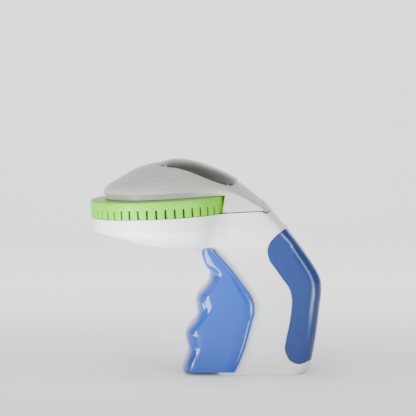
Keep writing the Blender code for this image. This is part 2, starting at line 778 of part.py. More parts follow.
def plunger_guide(mat):
    guide = box("plunger_guide", (36.2, 5.4, -12.6), (42.6, 12.6, -6.6), mat, True)
    bore = lathe("bore", [(0.0, -20.0), (2.08, -20.0), (2.08, 0.0), (0.0, 0.0)], 24, None,
                 PLUNGER_X, TRACK_Y)
    combine(guide, bore, "DIFFERENCE")
    return finish(guide, mat)


def plunger(mat):
    stem = lathe("emboss_plunger", [(0.0, -26.2), (2.0, -26.2), (2.0, -5.9), (1.3, -5.2), (0.0, -5.2)],
                 20, None, PLUNGER_X, TRACK_Y)
    combine(stem, box("crosshead", (33.6, 4.6, -24.2), (42.3, 14.5, -22.2), head=True), "UNION")
    return finish(stem, mat)


def cutter_blade(mat):
    outline = [(4.6, -22.1), (13.4, -22.1), (13.4, -5.6), (9.0, -6.4), (4.6, -5.6)]
    rings = [[(x, y, z) for y, z in outline] for x in (34.4, 34.9)]
    return finish(loft("cutter_blade", rings, mat, True), mat)


def feed_pawl(mat):
    outline = [(41.2, -22.1), (42.0, -22.1), (42.3, -6.0), (43.9, -3.6), (43.6, -2.9), (41.7, -5.4)]
    return finish(prism("feed_pawl", outline, 13.9, 15.1, mat, True), mat)


def rollers(rubber, steel, plastic):
    feed = tube_y("feed_roller", ROLLER_X, -3.4, 0.98, 2.4, 4.7, 13.3, 18, rubber)
    set_origin(feed, HEAD @ Vector((ROLLER_X * MM, 9 * MM, -3.4 * MM)))
    finish(feed, rubber)
    press = tube_y("pressure_roller", ROLLER_X, 2.0, 0.98, 2.3, 4.7, 13.3, 18, rubber)
    set_origin(press, HEAD @ Vector((ROLLER_X * MM, 9 * MM, 2.0 * MM)))
    finish(press, rubber)
    finish(rod_y("feed_axle", ROLLER_X, -3.4, 0.9, 0.2, 17.8, 16, steel, True), steel)
    finish(rod_y("pressure_axle", ROLLER_X, 2.0, 0.9, 0.2, 17.8, 16, steel, True), steel)
    teeth = 12
    outline = []
    for i in range(teeth):
        turn = 2.0 * math.pi * i / teeth
        outline.append((ROLLER_X + 2.95 * math.cos(turn), -3.4 + 2.95 * math.sin(turn)))
        lean = turn + 2.0 * math.pi * 0.88 / teeth
        outline.append((ROLLER_X + 2.25 * math.cos(lean), -3.4 + 2.25 * math.sin(lean)))
    ratchet = prism("ratchet_wheel", outline, 13.8, 15.2, plastic, True)
    combine(ratchet, rod_y("ratchet_bore", ROLLER_X, -3.4, 0.98, 10, 18, 16, head=True),
            "DIFFERENCE")
    finish(ratchet, plastic)


def spool(plastic, tape, steel):
    y0 = TRACK_Y - TAPE_W / 2
    y1 = TRACK_Y + TAPE_W / 2
    verts = []
    sides = 24
    profile = [(1.98, y0 - 1.0), (10.0, y0 - 1.0), (10.0, y0 - 0.3), (6.0, y0 - 0.3),
               (6.0, y1 + 0.3), (10.0, y1 + 0.3), (10.0, y1 + 1.0), (1.98, y1 + 1.0)]
    for i in range(sides):
        turn = 2.0 * math.pi * i / sides
        for r, y in profile:
            verts.append((ROLL_X + r * math.cos(turn), y, ROLL_Z + r * math.sin(turn)))
    count = len(profile)
    faces = []
    for i in range(sides):
        a = i * count
        b = ((i + 1) % sides) * count
        for k in range(count):
            m = (k + 1) % count
            faces.append((a + k, b + k, b + m, a + m))
    finish(make("tape_spool", verts, faces, plastic, True), plastic)
    roll = tube_y("tape_roll", ROLL_X, ROLL_Z, 6.15, ROLL_R, y0 + 0.1, y1 - 0.1, 36, tape)
    finish(roll, tape)
    finish(rod_y("tape_axle", ROLL_X, ROLL_Z, 1.9, 1.5, 17.2, 20, steel, True), steel)


def trigger_ring(z):
    """U-shaped plan section of the trigger at a height."""
    front = lerp(TRIG_FRONT, z)
    rear = lerp(TRIG_REAR, z)
    half = TRIG_HALF
    edge = 8.0 if z < 56 else max(2.4, min(8.0, (rear - front) * 0.42))
    outer = [(rear, half), (rear * 0.5 + (front + edge) * 0.5, half)]
    outer += arc(front + edge, half - edge, edge, 90, 180, 5)
    inner_half = half - TRIG_WALL
    bend = max(0.6, edge - TRIG_WALL)
    inside = [(rear, inner_half), (rear * 0.5 + (front + edge) * 0.5, inner_half)]
    inside += arc(front + TRIG_WALL + bend, inner_half - bend, bend, 90, 180, 5)
    loop = outer + [(x, -y) for x, y in reversed(outer)]
    back = [(x, -y) for x, y in inside] + [(x, y) for x, y in reversed(inside)]
    return [(x, y, z) for x, y in loop + back]


def trigger(mat):
    """Squeeze lever, cut back at the top to follow the head's underside."""
    shell = loft("trigger", [trigger_ring(z) for z in TRIG_LEVELS])
    combine(shell, bowl_solid("bowl_room", TRIG_GAP, 4.0), "DIFFERENCE")
    combine(shell, handle_solid("neck_room", 0.5), "DIFFERENCE")
    combine(shell, rod_y("pin_way", PIVOT_X, PIVOT_Z, 2.08, -19.9, 19.9, 20, head=True),
            "DIFFERENCE")
    set_origin(shell, HEAD @ Vector((PIVOT_X * MM, 0, PIVOT_Z * MM)))
    return finish(shell, mat, 42)


def drive_arm(mat):
    arm = rod_y("drive_arm", PIVOT_X, PIVOT_Z, 3.0, 5.4, 12.6, 18, head=True)
    block = box("arm_block", (28.2, 5.6, -31.0), (30.5, 12.4, -26.2), head=True)
    combine(arm, block, "UNION")
    for y0, y1 in ((5.5, 6.6), (11.4, 12.5)):
        outline = [(PIVOT_X, -31.1), (PLUNGER_X + 1.6, -30.9), (PLUNGER_X + 1.9, -28.9),
                   (PLUNGER_X + 1.2, -27.4), (PIVOT_X, -26.7)]
        combine(arm, prism("fork", outline, y0, y1, head=True), "UNION")
    combine(arm, rod_y("pin_way", PIVOT_X, PIVOT_Z, 2.08, 0, 20, 20, head=True), "DIFFERENCE")
    combine(arm, rod_y("roller_way", PLUNGER_X, PIVOT_Z, 0.95, 0, 20, 16, head=True), "DIFFERENCE")
    set_origin(arm, HEAD @ Vector((PIVOT_X * MM, 0, PIVOT_Z * MM)))
    return finish(arm, mat)


def drive_roller(mat):
    roller = tube_y("drive_roller", PLUNGER_X, PIVOT_Z, 0.97, 2.4, 6.9, 11.1, 24, mat)
    finish(roller, mat)
    pin = rod_y("drive_roller_pin", PLUNGER_X, PIVOT_Z, 0.9, 5.4, 12.6, 16, mat, True)
    finish(pin, mat)


def pins(mat):
    pivot = rod_y("trigger_pivot_pin", PIVOT_X, PIVOT_Z, 2.0, -19.7, 19.7, 20, mat, True)
    finish(pivot, mat)
    hinge = rod_y("cover_hinge_pin", HINGE_X, HINGE_Z, 0.88, -16.8, 16.8, 16, mat, True)
    finish(hinge, mat)


def springs(mat):
    back = coil("trigger_return_spring", (-34.9, 0, 44.0), (-1, 0, 0), (0, 0, 1), 8.6, 4.0, 0.45, 4, mat)
    finish(back, mat, 60)
    rise = HEAD.to_3x3() @ Vector((0, 0, 1))
    start = (HEAD @ Vector((PLUNGER_X * MM, TRACK_Y * MM, -21.6 * MM))) / MM
    lift = coil("plunger_spring", start, rise, (0, 1, 0), 8.4, 2.75, 0.35, 4, mat)
    finish(lift, mat, 60)


def set_origin(obj, point):
    """Move the origin without moving the mesh in the world."""
    shift = Vector(point) - obj.location
    obj.data.transform(Matrix.Translation(-shift))
    obj.location = point


def build():
    clear_scene()
    white = material("white_plastic", (0.78, 0.79, 0.78), 0.38)
    lime = material("lime_plastic", (0.38, 0.62, 0.10), 0.35)
    smoke = material("smoked_window", (0.045, 0.055, 0.050), 0.12, 0.0, 0.75)
    blue = material("blue_plastic", (0.09, 0.29, 0.62), 0.22)
    navy = material("blue_grip", (0.045, 0.14, 0.42), 0.45)
    grey = material("grey_nylon", (0.42, 0.43, 0.44), 0.45)
    steel = material("steel", (0.62, 0.63, 0.65), 0.28, 1.0)
    rubber = material("black_rubber", (0.03, 0.03, 0.03), 0.7)
    film = material("red_tape", (0.55, 0.03, 0.03), 0.3)
    body_shells(white)
    base_cap(white)
    grip_pad(navy)
    screws(steel)
    wheel_deck(grey)
    press_frame(steel)
    plunger_guide(grey)
    wheel_spindle(steel)
    spindle_clip(steel)
    detent_spring(steel)
    exit_guide(grey)
    tape_leader(film)
    pins(steel)
    springs(steel)
    cover = top_cover(white)
    hinge = HEAD @ Vector((HINGE_X * MM, 0, HINGE_Z * MM))
    set_origin(cover, hinge)
    set_origin(view_window(smoke), hinge)
    character_wheel(lime)
    die_ring(lime)
    punch_wheel(grey)
    wheel_hub(grey)
    trigger(blue)
    drive_arm(grey)
    drive_roller(steel)
    plunger(steel)
    cutter_blade(steel)
    feed_pawl(grey)
    rollers(rubber, steel, grey)
    spool(grey, film, steel)


build()
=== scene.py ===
"""Embossing label maker: the visible shells, wheel, trigger, grip, window and finishes."""
import math

import bmesh
import bpy
from mathutils import Matrix, Vector
from mathutils.bvhtree import BVHTree


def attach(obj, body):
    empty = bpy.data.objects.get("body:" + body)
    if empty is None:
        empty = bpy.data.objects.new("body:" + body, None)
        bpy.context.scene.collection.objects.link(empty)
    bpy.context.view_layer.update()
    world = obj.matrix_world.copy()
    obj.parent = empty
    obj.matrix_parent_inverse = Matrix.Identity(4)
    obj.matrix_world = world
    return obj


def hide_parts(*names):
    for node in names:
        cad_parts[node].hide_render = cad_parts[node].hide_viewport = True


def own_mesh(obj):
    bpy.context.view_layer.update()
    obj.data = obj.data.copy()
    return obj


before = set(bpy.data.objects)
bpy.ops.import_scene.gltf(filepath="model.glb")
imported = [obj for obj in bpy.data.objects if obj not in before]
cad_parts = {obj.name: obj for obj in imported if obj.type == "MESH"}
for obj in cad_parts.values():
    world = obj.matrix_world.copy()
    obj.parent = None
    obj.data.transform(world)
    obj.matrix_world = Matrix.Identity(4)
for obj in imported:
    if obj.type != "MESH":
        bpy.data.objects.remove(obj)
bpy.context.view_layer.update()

MM = 0.001

# ---------------------------------------------------------------- driving dimensions, in mm
# The head has its own frame: its origin is on the wheel's axis, level with the seam.
HEAD_X = -69.1
HEAD_Z = 99.0
HEAD_SLOPE = 0.048
HEAD_TILT = math.atan(HEAD_SLOPE)
# body walls, the seam under the cover and wheel, and the split between the body halves
WALL = 2.6
BOWL_WALL = 2.1
SEAM_GAP = 0.35
SPLIT_GAP = 0.16

PETALS = 49
PETAL_STEPS = 12
WHEEL_R = 43.9
WHEEL_TOP = 10.6
WHEEL_BORE = 4.15
WHEEL_SKIRT = 42.3
PLATE_LOW = 9.0
PETAL_CROWN = 0.45
SLOT_H = 5.6
SLOT_W = 1.3
SLOT_PHASE = 0.39

# the press stands this far to one side
TRACK_Y = 9.0
TRIG_HALF = 20.5
TRIG_WALL = 2.2
TRIG_LOW = 2.0
TRIG_HIGH = 78.2
TRIG_GAP = 0.8
# height and depth of the scooped corners
GROOVES = [(20.5, 0.5), (43.0, 1.0), (66.5, 1.0)]
GROOVE_REACH = 10.0
# the rounded nose: its length and width with what a scoop adds, narrower above a height
NOSE_LONG = (7.0, 3.6)
NOSE_WIDE = (12.0, 2.0)
NOSE_LEAST = 5.0
NOSE_Z = 68.0
NOSE_RISE = 6.0
BEAD_LONG = 2.8
FACE_IN = 0.25

# points of the head's side view, with the radii of what runs through them
PIVOT = (30.55, -28.9)
PIVOT_R = 2.08
HINGE = (64.5, 1.4)
HINGE_R = 2.8
HINGE_PIN_R = 0.95
EYE_HALF = 4.2
REEL = (56.8, -17.2)
# a point and the normal of the slope that the hinge pieces are cut back to
SLOPE_POINT = (63.2, 0, 4.3)
SLOPE_NORMAL = (0.744, 0, 0.668)

# screws of the side view, their bosses and their bores
SCREWS = [(-86.0, 88.0), (-52.0, 86.5), (10.0, 66.0), (14.0, 38.0), (-26.0, 14.0)]
BOSS_R = 3.9
BOSS_GAP = 0.4
TUBE_R = 3.3
TUBE_BORE = 1.6
BORE_R = 1.7
SINK_R = 3.1
SINK_Y = 7.2
# openings for the drive arm and the label, as opposite corners
ARM_WINDOW = ((-44, 4.7, 65.5), (-34.0, 13.3, 75.6))
EXIT_NOTCH = ((-48, 3.4, -2.4), (-38, 14.6, 2))

# handle: (height, x) of its back and front, and (height, half width)
HANDLE_REAR = [(-6, 15.0), (0, 18.4), (1.6, 20.6), (5.3, 22.6), (15.2, 24.8), (29.5, 27.0),
               (43.0, 28.5), (52.0, 29.45), (56.5, 29.3), (61.1, 27.9), (68.5, 23.6), (78.4, 16.7),
               (89.0, 8.7), (97.0, 2.5), (102.6, -2.5), (110.0, -9.5)]
HANDLE_FRONT = [(-6, -34.0), (64, -34.0), (66, -36.0), (70, -39.2), (71.5, -40.4), (76.5, -40.4),
                (79.0, -41.5), (86, -46.0), (91, -48.0), (110, -48.0)]
HANDLE_HALF = [(-6, 17.4), (0, 17.4), (30, 17.6), (60, 17.6), (74, 17.6), (79, 18.3), (82, 19.8),
               (86, 21.8), (90, 23.1), (93, 23.5), (110, 23.5)]
HANDLE_R_REAR = 8.0
HANDLE_R_FRONT = 4.0
# the sides flare out to the head above this height, over this rise
FLARE_Z = 80.0
FLARE_RISE = 7.0
FILLET_R = 8.0
FILLET_X = -26.9
FILLET_REACH = 6.4

# lower half of the head, with (x, depth) along its underside
BOWL_R = 43.9
BOWL_WALL_D = 9.2
BOWL_DRAFT = 1.3
BOWL_LEAST = 1.4
BOWL_DEPTH = [(-44, 8.6), (-42, 10.4), (-35.4, 13.2), (-25.3, 16.2), (-12.7, 19.6), (-7, 20.8),
              (0, 22.0), (12.7, 24.8), (20, 27.8), (26.3, 31.0), (35, 35.0), (44, 37.0)]
BOWL_KINK = 20.0
# evenly meshed skin: cell size, width of the faired band, rounds of fairing
SKIN_CELL = 1.1
FAIR_REACH = 4.2
FAIR_ROUNDS = 28

# trigger: (height, x) of its front and back
TRIG_FRONT = [(0, -56.1), (1.6, -56.1), (6.5, -55.4), (9.6, -54.3), (13.3, -53.0), (15.8, -52.8),
              (20.2, -53.9), (24.5, -54.4), (28.2, -53.0), (31.3, -50.5), (34.4, -48.1),
              (38.1, -47.0), (41.2, -47.2), (45.3, -47.9), (48.7, -46.8), (52.1, -44.0),
              (56.1, -40.9), (59.2, -39.5), (62.3, -39.5), (66.0, -40.9), (70, -42.6),
              (72.2, -43.4), (75, -44.3), (80, -44.5)]
TRIG_REAR = [(0, -25.0), (1.7, -24.1), (8.6, -20.6), (17.5, -17.4), (27.6, -14.6), (33.9, -13.0),
             (39.0, -11.6), (42.8, -11.6), (47.2, -12.7), (50.4, -14.3), (55.4, -17.9),
             (61.8, -22.6), (68.1, -27.7), (73.2, -32.3), (76.0, -34.9), (80.0, -37.4)]

# cover: (x, height) of its ridge, dome and rim, and (x, half width)
RIDGE = [(-4, 31.4), (0, 31.75), (4, 31.95), (8.0, 32.05), (15.4, 31.4), (22.9, 29.8),
         (30.1, 27.1), (37.4, 23.8), (44.7, 19.8), (51.3, 15.2), (57.8, 9.5), (63.2, 4.3),
         (66.7, 0.4)]
COVER_R = 35.6
COVER_RIM = 14.3
COVER_LOW = 10.9
DOME = [(-5.7, 31.0), (0, 31.75), (5.7, 31.0), (11.3, 29.7), (16.4, 27.7), (23.4, 24.2),
        (29.1, 21.2), (32.6, 19.0), (34.6, 17.0), (35.4, 15.6), (35.6, 14.3)]
RIM_FALL = [(0, 14.3), (22, 14.3), (30, 14.1), (37.4, 13.3), (44.7, 11.3), (51.3, 8.0),
            (57.8, 4.2), (63.2, 1.2), (66.7, 0.4)]
COVER_HALF = [(13.7, 32.86), (20, 30.35), (28, 27.2), (34, 24.8), (38, 23.7), (42, 23.5),
              (50, 23.5), (59.6, 23.5), (62, 23.1), (63.2, 22.5), (65, 21.0), (66.7, 18.0)]

# window: (x, y) of one half of its outline, from above
WINDOW = [(-1.0, 0.0), (-0.5, 5.0), (0.7, 9.0), (2.7, 11.8), (6.0, 13.3), (10.5, 14.3),
          (15.5, 15.4), (21.0, 16.9), (27.0, 18.2), (33.0, 18.7), (39.0, 18.6), (42.6, 17.5),
          (44.9, 14.8), (46.6, 10.0), (47.8, 5.0), (48.2, 0.0)]
# lip round the dome's edge: steps down and in
LIP = [(0.35, 0.08), (0.3, 0.3), (0.12, 1.0)]
LIP_END = 24.0
LENS_PROUD = 0.7
LENS_CROWN = 0.9
LENS_TIP = -1.0
LENS_RISE = 11.0
LENS_REACH = 19.5
LENS_WALL = 1.5
COVER_WALL = 2.0
ROOM_LOW = 44.5
ROOM_HIGH = 46.2
# steps moulded round the dome, as shares of its radius
RIPPLE_START = 0.42
RIPPLE_END = 0.93
RIPPLE_PITCH = 0.125
RIPPLE_DEEP = 0.16
DIMPLE = (55.7, 11.5)
DIMPLE_R = 1.2
DIMPLE_LOW = 8.1
NOTCH_X = (23.2, 22.0, 20.6, 19.4)
NOTCH_DEEP = 1.0
NOTCH_HALF = 1.7

# grip pad: (x, height) of its edge, then of its open side beyond the handle
PAD_EDGE = [(8.1, 90.9), (5.6, 89.9), (1.5, 86.9), (-2.0, 82.8), (-3.5, 78.6), (-3.5, 75.0),
            (-2.0, 70.3), (1.5, 65.5), (5.6, 59.6), (9.2, 54.9), (11.0, 50.1), (11.5, 45.4),
            (11.0, 39.4), (9.8, 31.1), (8.0, 22.8), (7.2, 16.7), (8.2, 12.8), (10.5, 9.0),
            (14.9, 7.0), (18.3, 7.2), (21.0, 8.2)]
PAD_OUTSIDE = [(45.0, 12.0), (45.0, 106.8), (12.0, 92.6)]
PAD_MIDDLE = 50.0
PAD_PROUD = 0.5
PAD_IN = 1.0
PAD_GAP = 0.22

# springs: end, length, coil radius, wire radius, turns
RETURN_SPRING = ((-34.9, 0, 44.0), 8.6, 4.0, 0.45, 4)
PRESS_SPRING = ((39.4, TRACK_Y, -21.6), 8.4, 2.75, 0.35, 4)

HEAD = (Matrix.Translation(Vector((HEAD_X * MM, 0, HEAD_Z * MM)))
        @ Matrix.Rotation(-HEAD_TILT, 4, "Y"))
HEAD_UP = HEAD.to_3x3() @ Vector((0, 0, 1))


# ---------------------------------------------------------------- small helpers
def smooth(table, value):
    """Cubic reading of a table of pairs, without overshoot."""
    if value <= table[0][0]:
        return table[0][1]
    if value >= table[-1][0]:
        return table[-1][1]
    steps = [(b[1] - a[1]) / (b[0] - a[0]) for a, b in zip(table, table[1:])]
    i = 0
    while value > table[i + 1][0]:
        i += 1

    def lean(k):
        if k == 0:
            return steps[0]
        if k == len(table) - 1:
            return steps[-1]
        left, right = steps[k - 1], steps[k]
        if left * right <= 0:
            return 0.0
        return 2 * left * right / (left + right)

    (a, fa), (b, fb) = table[i], table[i + 1]
    width = b - a
    t = (value - a) / width
    h00 = 2 * t ** 3 - 3 * t ** 2 + 1
    h10 = t ** 3 - 2 * t ** 2 + t
    h01 = 3 * t ** 2 - 2 * t ** 3
    h11 = t ** 3 - t ** 2
    return h00 * fa + h10 * width * lean(i) + h01 * fb + h11 * width * lean(i + 1)


def clamp(value, low=0.0, high=1.0):
    return max(low, min(high, value))


def ease(value):
    t = clamp(value)
    return t * t * (3 - 2 * t)


def spread(low, high, count):
    return [low + (high - low) * i / (count - 1) for i in range(count)]


def arc(cx, cy, radius, a0, a1, count):
    return [(cx + radius * math.cos(math.radians(a)), cy + radius * math.sin(math.radians(a)))
            for a in spread(a0, a1, count)]


def between(p0, p1, p2, p3, t):
    """Point a share t of the way from p1 to p2, on a curve through four points."""
    return tuple((2 * b + (c - a) * t + (2 * a - 5 * b + 4 * c - d) * t * t
                  + (3 * b - a - 3 * c + d) * t ** 3) / 2
                 for a, b, c, d in zip(p0, p1, p2, p3))


def head_point(x, y, z):
    """Point of the head's frame, given in mm, in metres of the whole."""
    return HEAD @ Vector((x * MM, y * MM, z * MM))


def make(name, verts, faces, head=False):
    """Mesh object from points in mm, in the head's frame if asked."""
    mesh = bpy.data.meshes.new(name)
    mesh.from_pydata([Vector(v) * MM for v in verts], [], faces)
    obj = bpy.data.objects.new(name, mesh)
    bpy.context.scene.collection.objects.link(obj)
    if head:
        mesh.transform(HEAD)
    orient(obj)
    return obj


def edit(obj, work):
    """Run work(bm) on the object's mesh."""
    bm = bmesh.new()
    bm.from_mesh(obj.data)
    work(bm)
    bm.to_mesh(obj.data)
    bm.free()
    obj.data.update()


def orient(obj):
    edit(obj, lambda bm: bmesh.ops.recalc_face_normals(bm, faces=bm.faces))


def drop(obj):
    bpy.data.objects.remove(obj, do_unlink=True)


def copy_of(obj):
    twin = obj.copy()
    twin.data = obj.data.copy()
    bpy.context.scene.collection.objects.link(twin)
    return twin


def bake(obj):
    """Apply the object's modifiers to its mesh."""
    graph = bpy.context.evaluated_depsgraph_get()
    mesh = bpy.data.meshes.new_from_object(obj.evaluated_get(graph))
    obj.modifiers.clear()
    old = obj.data
    obj.data = mesh
    bpy.data.meshes.remove(old)


def combine(obj, other, how):
    """Boolean of the object with another, which is used up."""
    mod = obj.modifiers.new(how.lower(), "BOOLEAN")
    mod.operation = how
    mod.solver = "EXACT"
    mod.object = other
    bake(obj)
    drop(other)

    def tidy(bm):
        bmesh.ops.remove_doubles(bm, verts=bm.verts, dist=0.00001)
        bmesh.ops.dissolve_degenerate(bm, edges=bm.edges, dist=0.000005)
    edit(obj, tidy)
    return obj


def joined(name, objs):
    """Several separate solids as one object."""
    first = objs[0]
    bm = bmesh.new()
    for obj in objs:
        bm.from_mesh(obj.data)
    bm.to_mesh(first.data)
    bm.free()
    for obj in objs[1:]:
        drop(obj)
    first.name = name
    return first


def loft(name, rings, head=False):
    """Skin through rings of equal count, closed at both ends."""
    count = len(rings[0])
    verts = [point for ring in rings for point in ring]
    faces = []
    for level in range(len(rings) - 1):
        base = level * count
        for i in range(count):
            j = (i + 1) % count
            faces.append((base + i, base + j, base + count + j, base + count + i))
    faces.append(tuple(range(count)))
    faces.append(tuple(range((len(rings) - 1) * count, len(rings) * count)))
    return make(name, verts, faces, head)


def prism(name, outline, y0, y1, head=False):
    """Side-view outline of (x, z) points, drawn out along Y."""
    return loft(name, [[(x, y, z) for x, z in outline] for y in (y0, y1)], head)


def box(name, low, high, head=False):
    outline = [(low[0], low[2]), (high[0], low[2]), (high[0], high[2]), (low[0], high[2])]
    return prism(name, outline, low[1], high[1], head)


def rod_y(name, x, z, radius, y0, y1, sides=32):
    """Rod along Y through a point of the head's side view."""
    outline = arc(x, z, radius, 0, 360 - 360 / sides, sides)
    return prism(name, outline, y0, y1, True)


def ring_faces(sides, count):
    """Quads of a closed section of count points, turned through sides steps."""
    faces = []
    for i in range(sides):
        a = i * count
        b = ((i + 1) % sides) * count
        for k in range(count):
            m = (k + 1) % count
            faces.append((a + k, b + k, b + m, a + m))
    return faces


def turned_y(name, x, z, profile, sides=28, head=False):
    """Turned about a line along Y from the (radius, y) points of a closed section."""
    verts = []
    for i in range(sides):
        turn = 2.0 * math.pi * i / sides
        for r, y in profile:
            verts.append((x + r * math.cos(turn), y, z + r * math.sin(turn)))
    obj = make(name, verts, ring_faces(sides, len(profile)), head)
    edit(obj, lambda bm: bmesh.ops.remove_doubles(bm, verts=bm.verts, dist=0.0000001))
    orient(obj)
    return obj


def lathe(name, profile, sides, x=0.0, y=0.0):
    """Turned about a line along the head's axis, from (radius, height) points."""
    verts = []
    index = {}
    for k, (r, z) in enumerate(profile):
        for i in range(sides):
            turn = 2.0 * math.pi * i / sides
            if r == 0.0 and i > 0:
                index[(i, k)] = index[(0, k)]
                continue
            index[(i, k)] = len(verts)
            verts.append((x + r * math.cos(turn), y + r * math.sin(turn), z))
    faces = []
    for i in range(sides):
        j = (i + 1) % sides
        for k in range(len(profile)):
            m = (k + 1) % len(profile)
            corners = [index[(i, k)], index[(j, k)], index[(j, m)], index[(i, m)]]
            face = [c for n, c in enumerate(corners) if c not in corners[:n]]
            if len(face) > 2:
                faces.append(tuple(face))
    return make(name, verts, faces, True)


def cut_plane(obj, point, normal):
    """Remove the normal's side of a plane and close the cut."""
    def work(bm):
        geom = bm.verts[:] + bm.edges[:] + bm.faces[:]
        cut = bmesh.ops.bisect_plane(bm, geom=geom, dist=0.000001, plane_co=point,
                                     plane_no=normal, clear_outer=True)
        edges = [e for e in cut["geom_cut"] if isinstance(e, bmesh.types.BMEdge)]
        bmesh.ops.triangle_fill(bm, use_beauty=True, use_dissolve=True, edges=edges)
        bmesh.ops.recalc_face_normals(bm, faces=bm.faces)
    edit(obj, work)


def bevel(obj, width, segments, angle):
    """Round the edges that are sharper than an angle."""
    mod = obj.modifiers.new("edges", "BEVEL")
    mod.width = width * MM
    mod.segments = segments
    mod.limit_method = "ANGLE"
    mod.angle_limit = math.radians(angle)
    mod.use_clamp_overlap = True


def place(obj, material, body, node, angle):
    """Give a piece its finish and body, and let it stand for a CAD node."""
    obj.data.materials.clear()
    obj.data.materials.append(material)
    obj.data.shade_smooth()
    obj.data.set_sharp_from_angle(angle=math.radians(angle))
    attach(obj, body)
    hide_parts(node)


# ---------------------------------------------------------------- materials
def tree(name):
    mat = bpy.data.materials.new(name)
    mat.use_nodes = True
    nodes = mat.node_tree.nodes
    return mat, nodes, mat.node_tree.links, nodes["Principled BSDF"]


def noise(nodes, links, scale, detail=3.0, roughness=0.5):
    where = nodes.new("ShaderNodeTexCoord")
    tex = nodes.new("ShaderNodeTexNoise")
    tex.inputs["Scale"].default_value = scale
    tex.inputs["Detail"].default_value = detail
    tex.inputs["Roughness"].default_value = roughness
    links.new(where.outputs["Object"], tex.inputs["Vector"])
    return tex.outputs["Fac"]


def ramp(nodes, links, source, low, high, start=0.3, end=0.7):
    band = nodes.new("ShaderNodeValToRGB")
    band.color_ramp.elements[0].position = start
    band.color_ramp.elements[1].position = end
    band.color_ramp.elements[0].color = (*low, 1.0)
    band.color_ramp.elements[1].color = (*high, 1.0)
    links.new(source, band.inputs["Fac"])
    return band.outputs["Color"]


def bump(nodes, links, shader, source, strength, distance):
    node = nodes.new("ShaderNodeBump")
    node.inputs["Strength"].default_value = strength
    node.inputs["Distance"].default_value = distance
    links.new(source, node.inputs["Height"])
    links.new(node.outputs["Normal"], shader.inputs["Normal"])


def rough_from(nodes, links, shader, source, low, high):
    span = nodes.new("ShaderNodeMapRange")
    span.inputs["To Min"].default_value = low
    span.inputs["To Max"].default_value = high
    links.new(source, span.inputs["Value"])
    links.new(span.outputs["Result"], shader.inputs["Roughness"])


def plastic(name, colour, rough, grain=2600.0, depth=0.00002, coat=0.0, shift=0.03, ior=1.49):
    """Moulded plastic: slight cloudiness in colour and gloss, fine mould grain."""
    mat, nodes, links, shader = tree(name)
    cloud = noise(nodes, links, 55.0, 4.0, 0.6)
    low = tuple(c * (1 - shift) for c in colour)
    high = tuple(min(1.0, c * (1 + shift)) for c in colour)
    links.new(ramp(nodes, links, cloud, low, high), shader.inputs["Base Color"])
    smear = noise(nodes, links, 140.0, 5.0, 0.65)
    rough_from(nodes, links, shader, smear, rough * 0.82, rough * 1.2)
    bump(nodes, links, shader, noise(nodes, links, grain, 2.0), 0.25, depth)
    shader.inputs["IOR"].default_value = ior
    shader.inputs["Coat Weight"].default_value = coat
    shader.inputs["Coat Roughness"].default_value = 0.06
    return mat


def smoked(name):
    """Polished tinted window."""
    mat, nodes, links, shader = tree(name)
    cloud = noise(nodes, links, 60.0, 3.0)
    links.new(ramp(nodes, links, cloud, (0.085, 0.105, 0.08), (0.11, 0.13, 0.10)),
              shader.inputs["Base Color"])
    smear = noise(nodes, links, 220.0, 4.0)
    rough_from(nodes, links, shader, smear, 0.06, 0.16)
    shader.inputs["Transmission Weight"].default_value = 0.72
    shader.inputs["IOR"].default_value = 1.45
    shader.inputs["Coat Weight"].default_value = 0.3
    shader.inputs["Coat Roughness"].default_value = 0.05
    return mat


def metal(name, colour, rough):
    """Plated steel with fine drawn streaks."""
    mat, nodes, links, shader = tree(name)
    where = nodes.new("ShaderNodeTexCoord")
    scale = nodes.new("ShaderNodeMapping")
    scale.inputs["Scale"].default_value = (450.0, 9000.0, 450.0)
    tex = nodes.new("ShaderNodeTexNoise")
    tex.inputs["Scale"].default_value = 1.0
    links.new(where.outputs["Object"], scale.inputs["Vector"])
    links.new(scale.outputs["Vector"], tex.inputs["Vector"])
    low = tuple(c * 0.86 for c in colour)
    links.new(ramp(nodes, links, tex.outputs["Fac"], low, colour), shader.inputs["Base Color"])
    rough_from(nodes, links, shader, tex.outputs["Fac"], rough * 0.7, rough * 1.3)
    shader.inputs["Metallic"].default_value = 1.0
    return mat


WHITE = plastic("white_shell", (0.47, 0.48, 0.47), 0.34, shift=0.015, depth=0.000012)
# cover: the body's white plastic, with painted shade in its darker, warmer colour
COVER_WHITE_PAINTED_SHADE = plastic("white_cover_painted_shade", (0.36, 0.358, 0.328), 0.36, shift=0.015, depth=0.000012)
LIME = plastic("lime_wheel", (0.095, 0.36, 0.001), 0.38, shift=0.05, ior=1.4)
BLUE = plastic("blue_trigger", (0.002, 0.042, 0.25), 0.16, coat=0.2, shift=0.03, depth=0.000006)
NAVY = plastic("blue_grip", (0.001, 0.018, 0.106), 0.24, grain=1500.0, coat=0.1, shift=0.06,
               depth=0.000006)
NYLON = plastic("grey_nylon", (0.42, 0.43, 0.44), 0.5, shift=0.05)
# die ring: lime darkened almost to black, painted shade so the wheel's slots read dark
SLOT_SHADE_LIME = plastic("lime_painted_slot_shade", (0.008, 0.018, 0.002), 0.45, shift=0.08)
RUBBER = plastic("black_rubber", (0.025, 0.025, 0.027), 0.75, grain=4000.0, depth=0.00004)
TAPE = plastic("vinyl_tape", (0.55, 0.03, 0.03), 0.22, coat=0.4)
SMOKE = smoked("smoked_window")
STEEL = metal("plated_steel", (0.62, 0.63, 0.65), 0.26)
BRIGHT = metal("bright_pin", (0.72, 0.72, 0.74), 0.18)


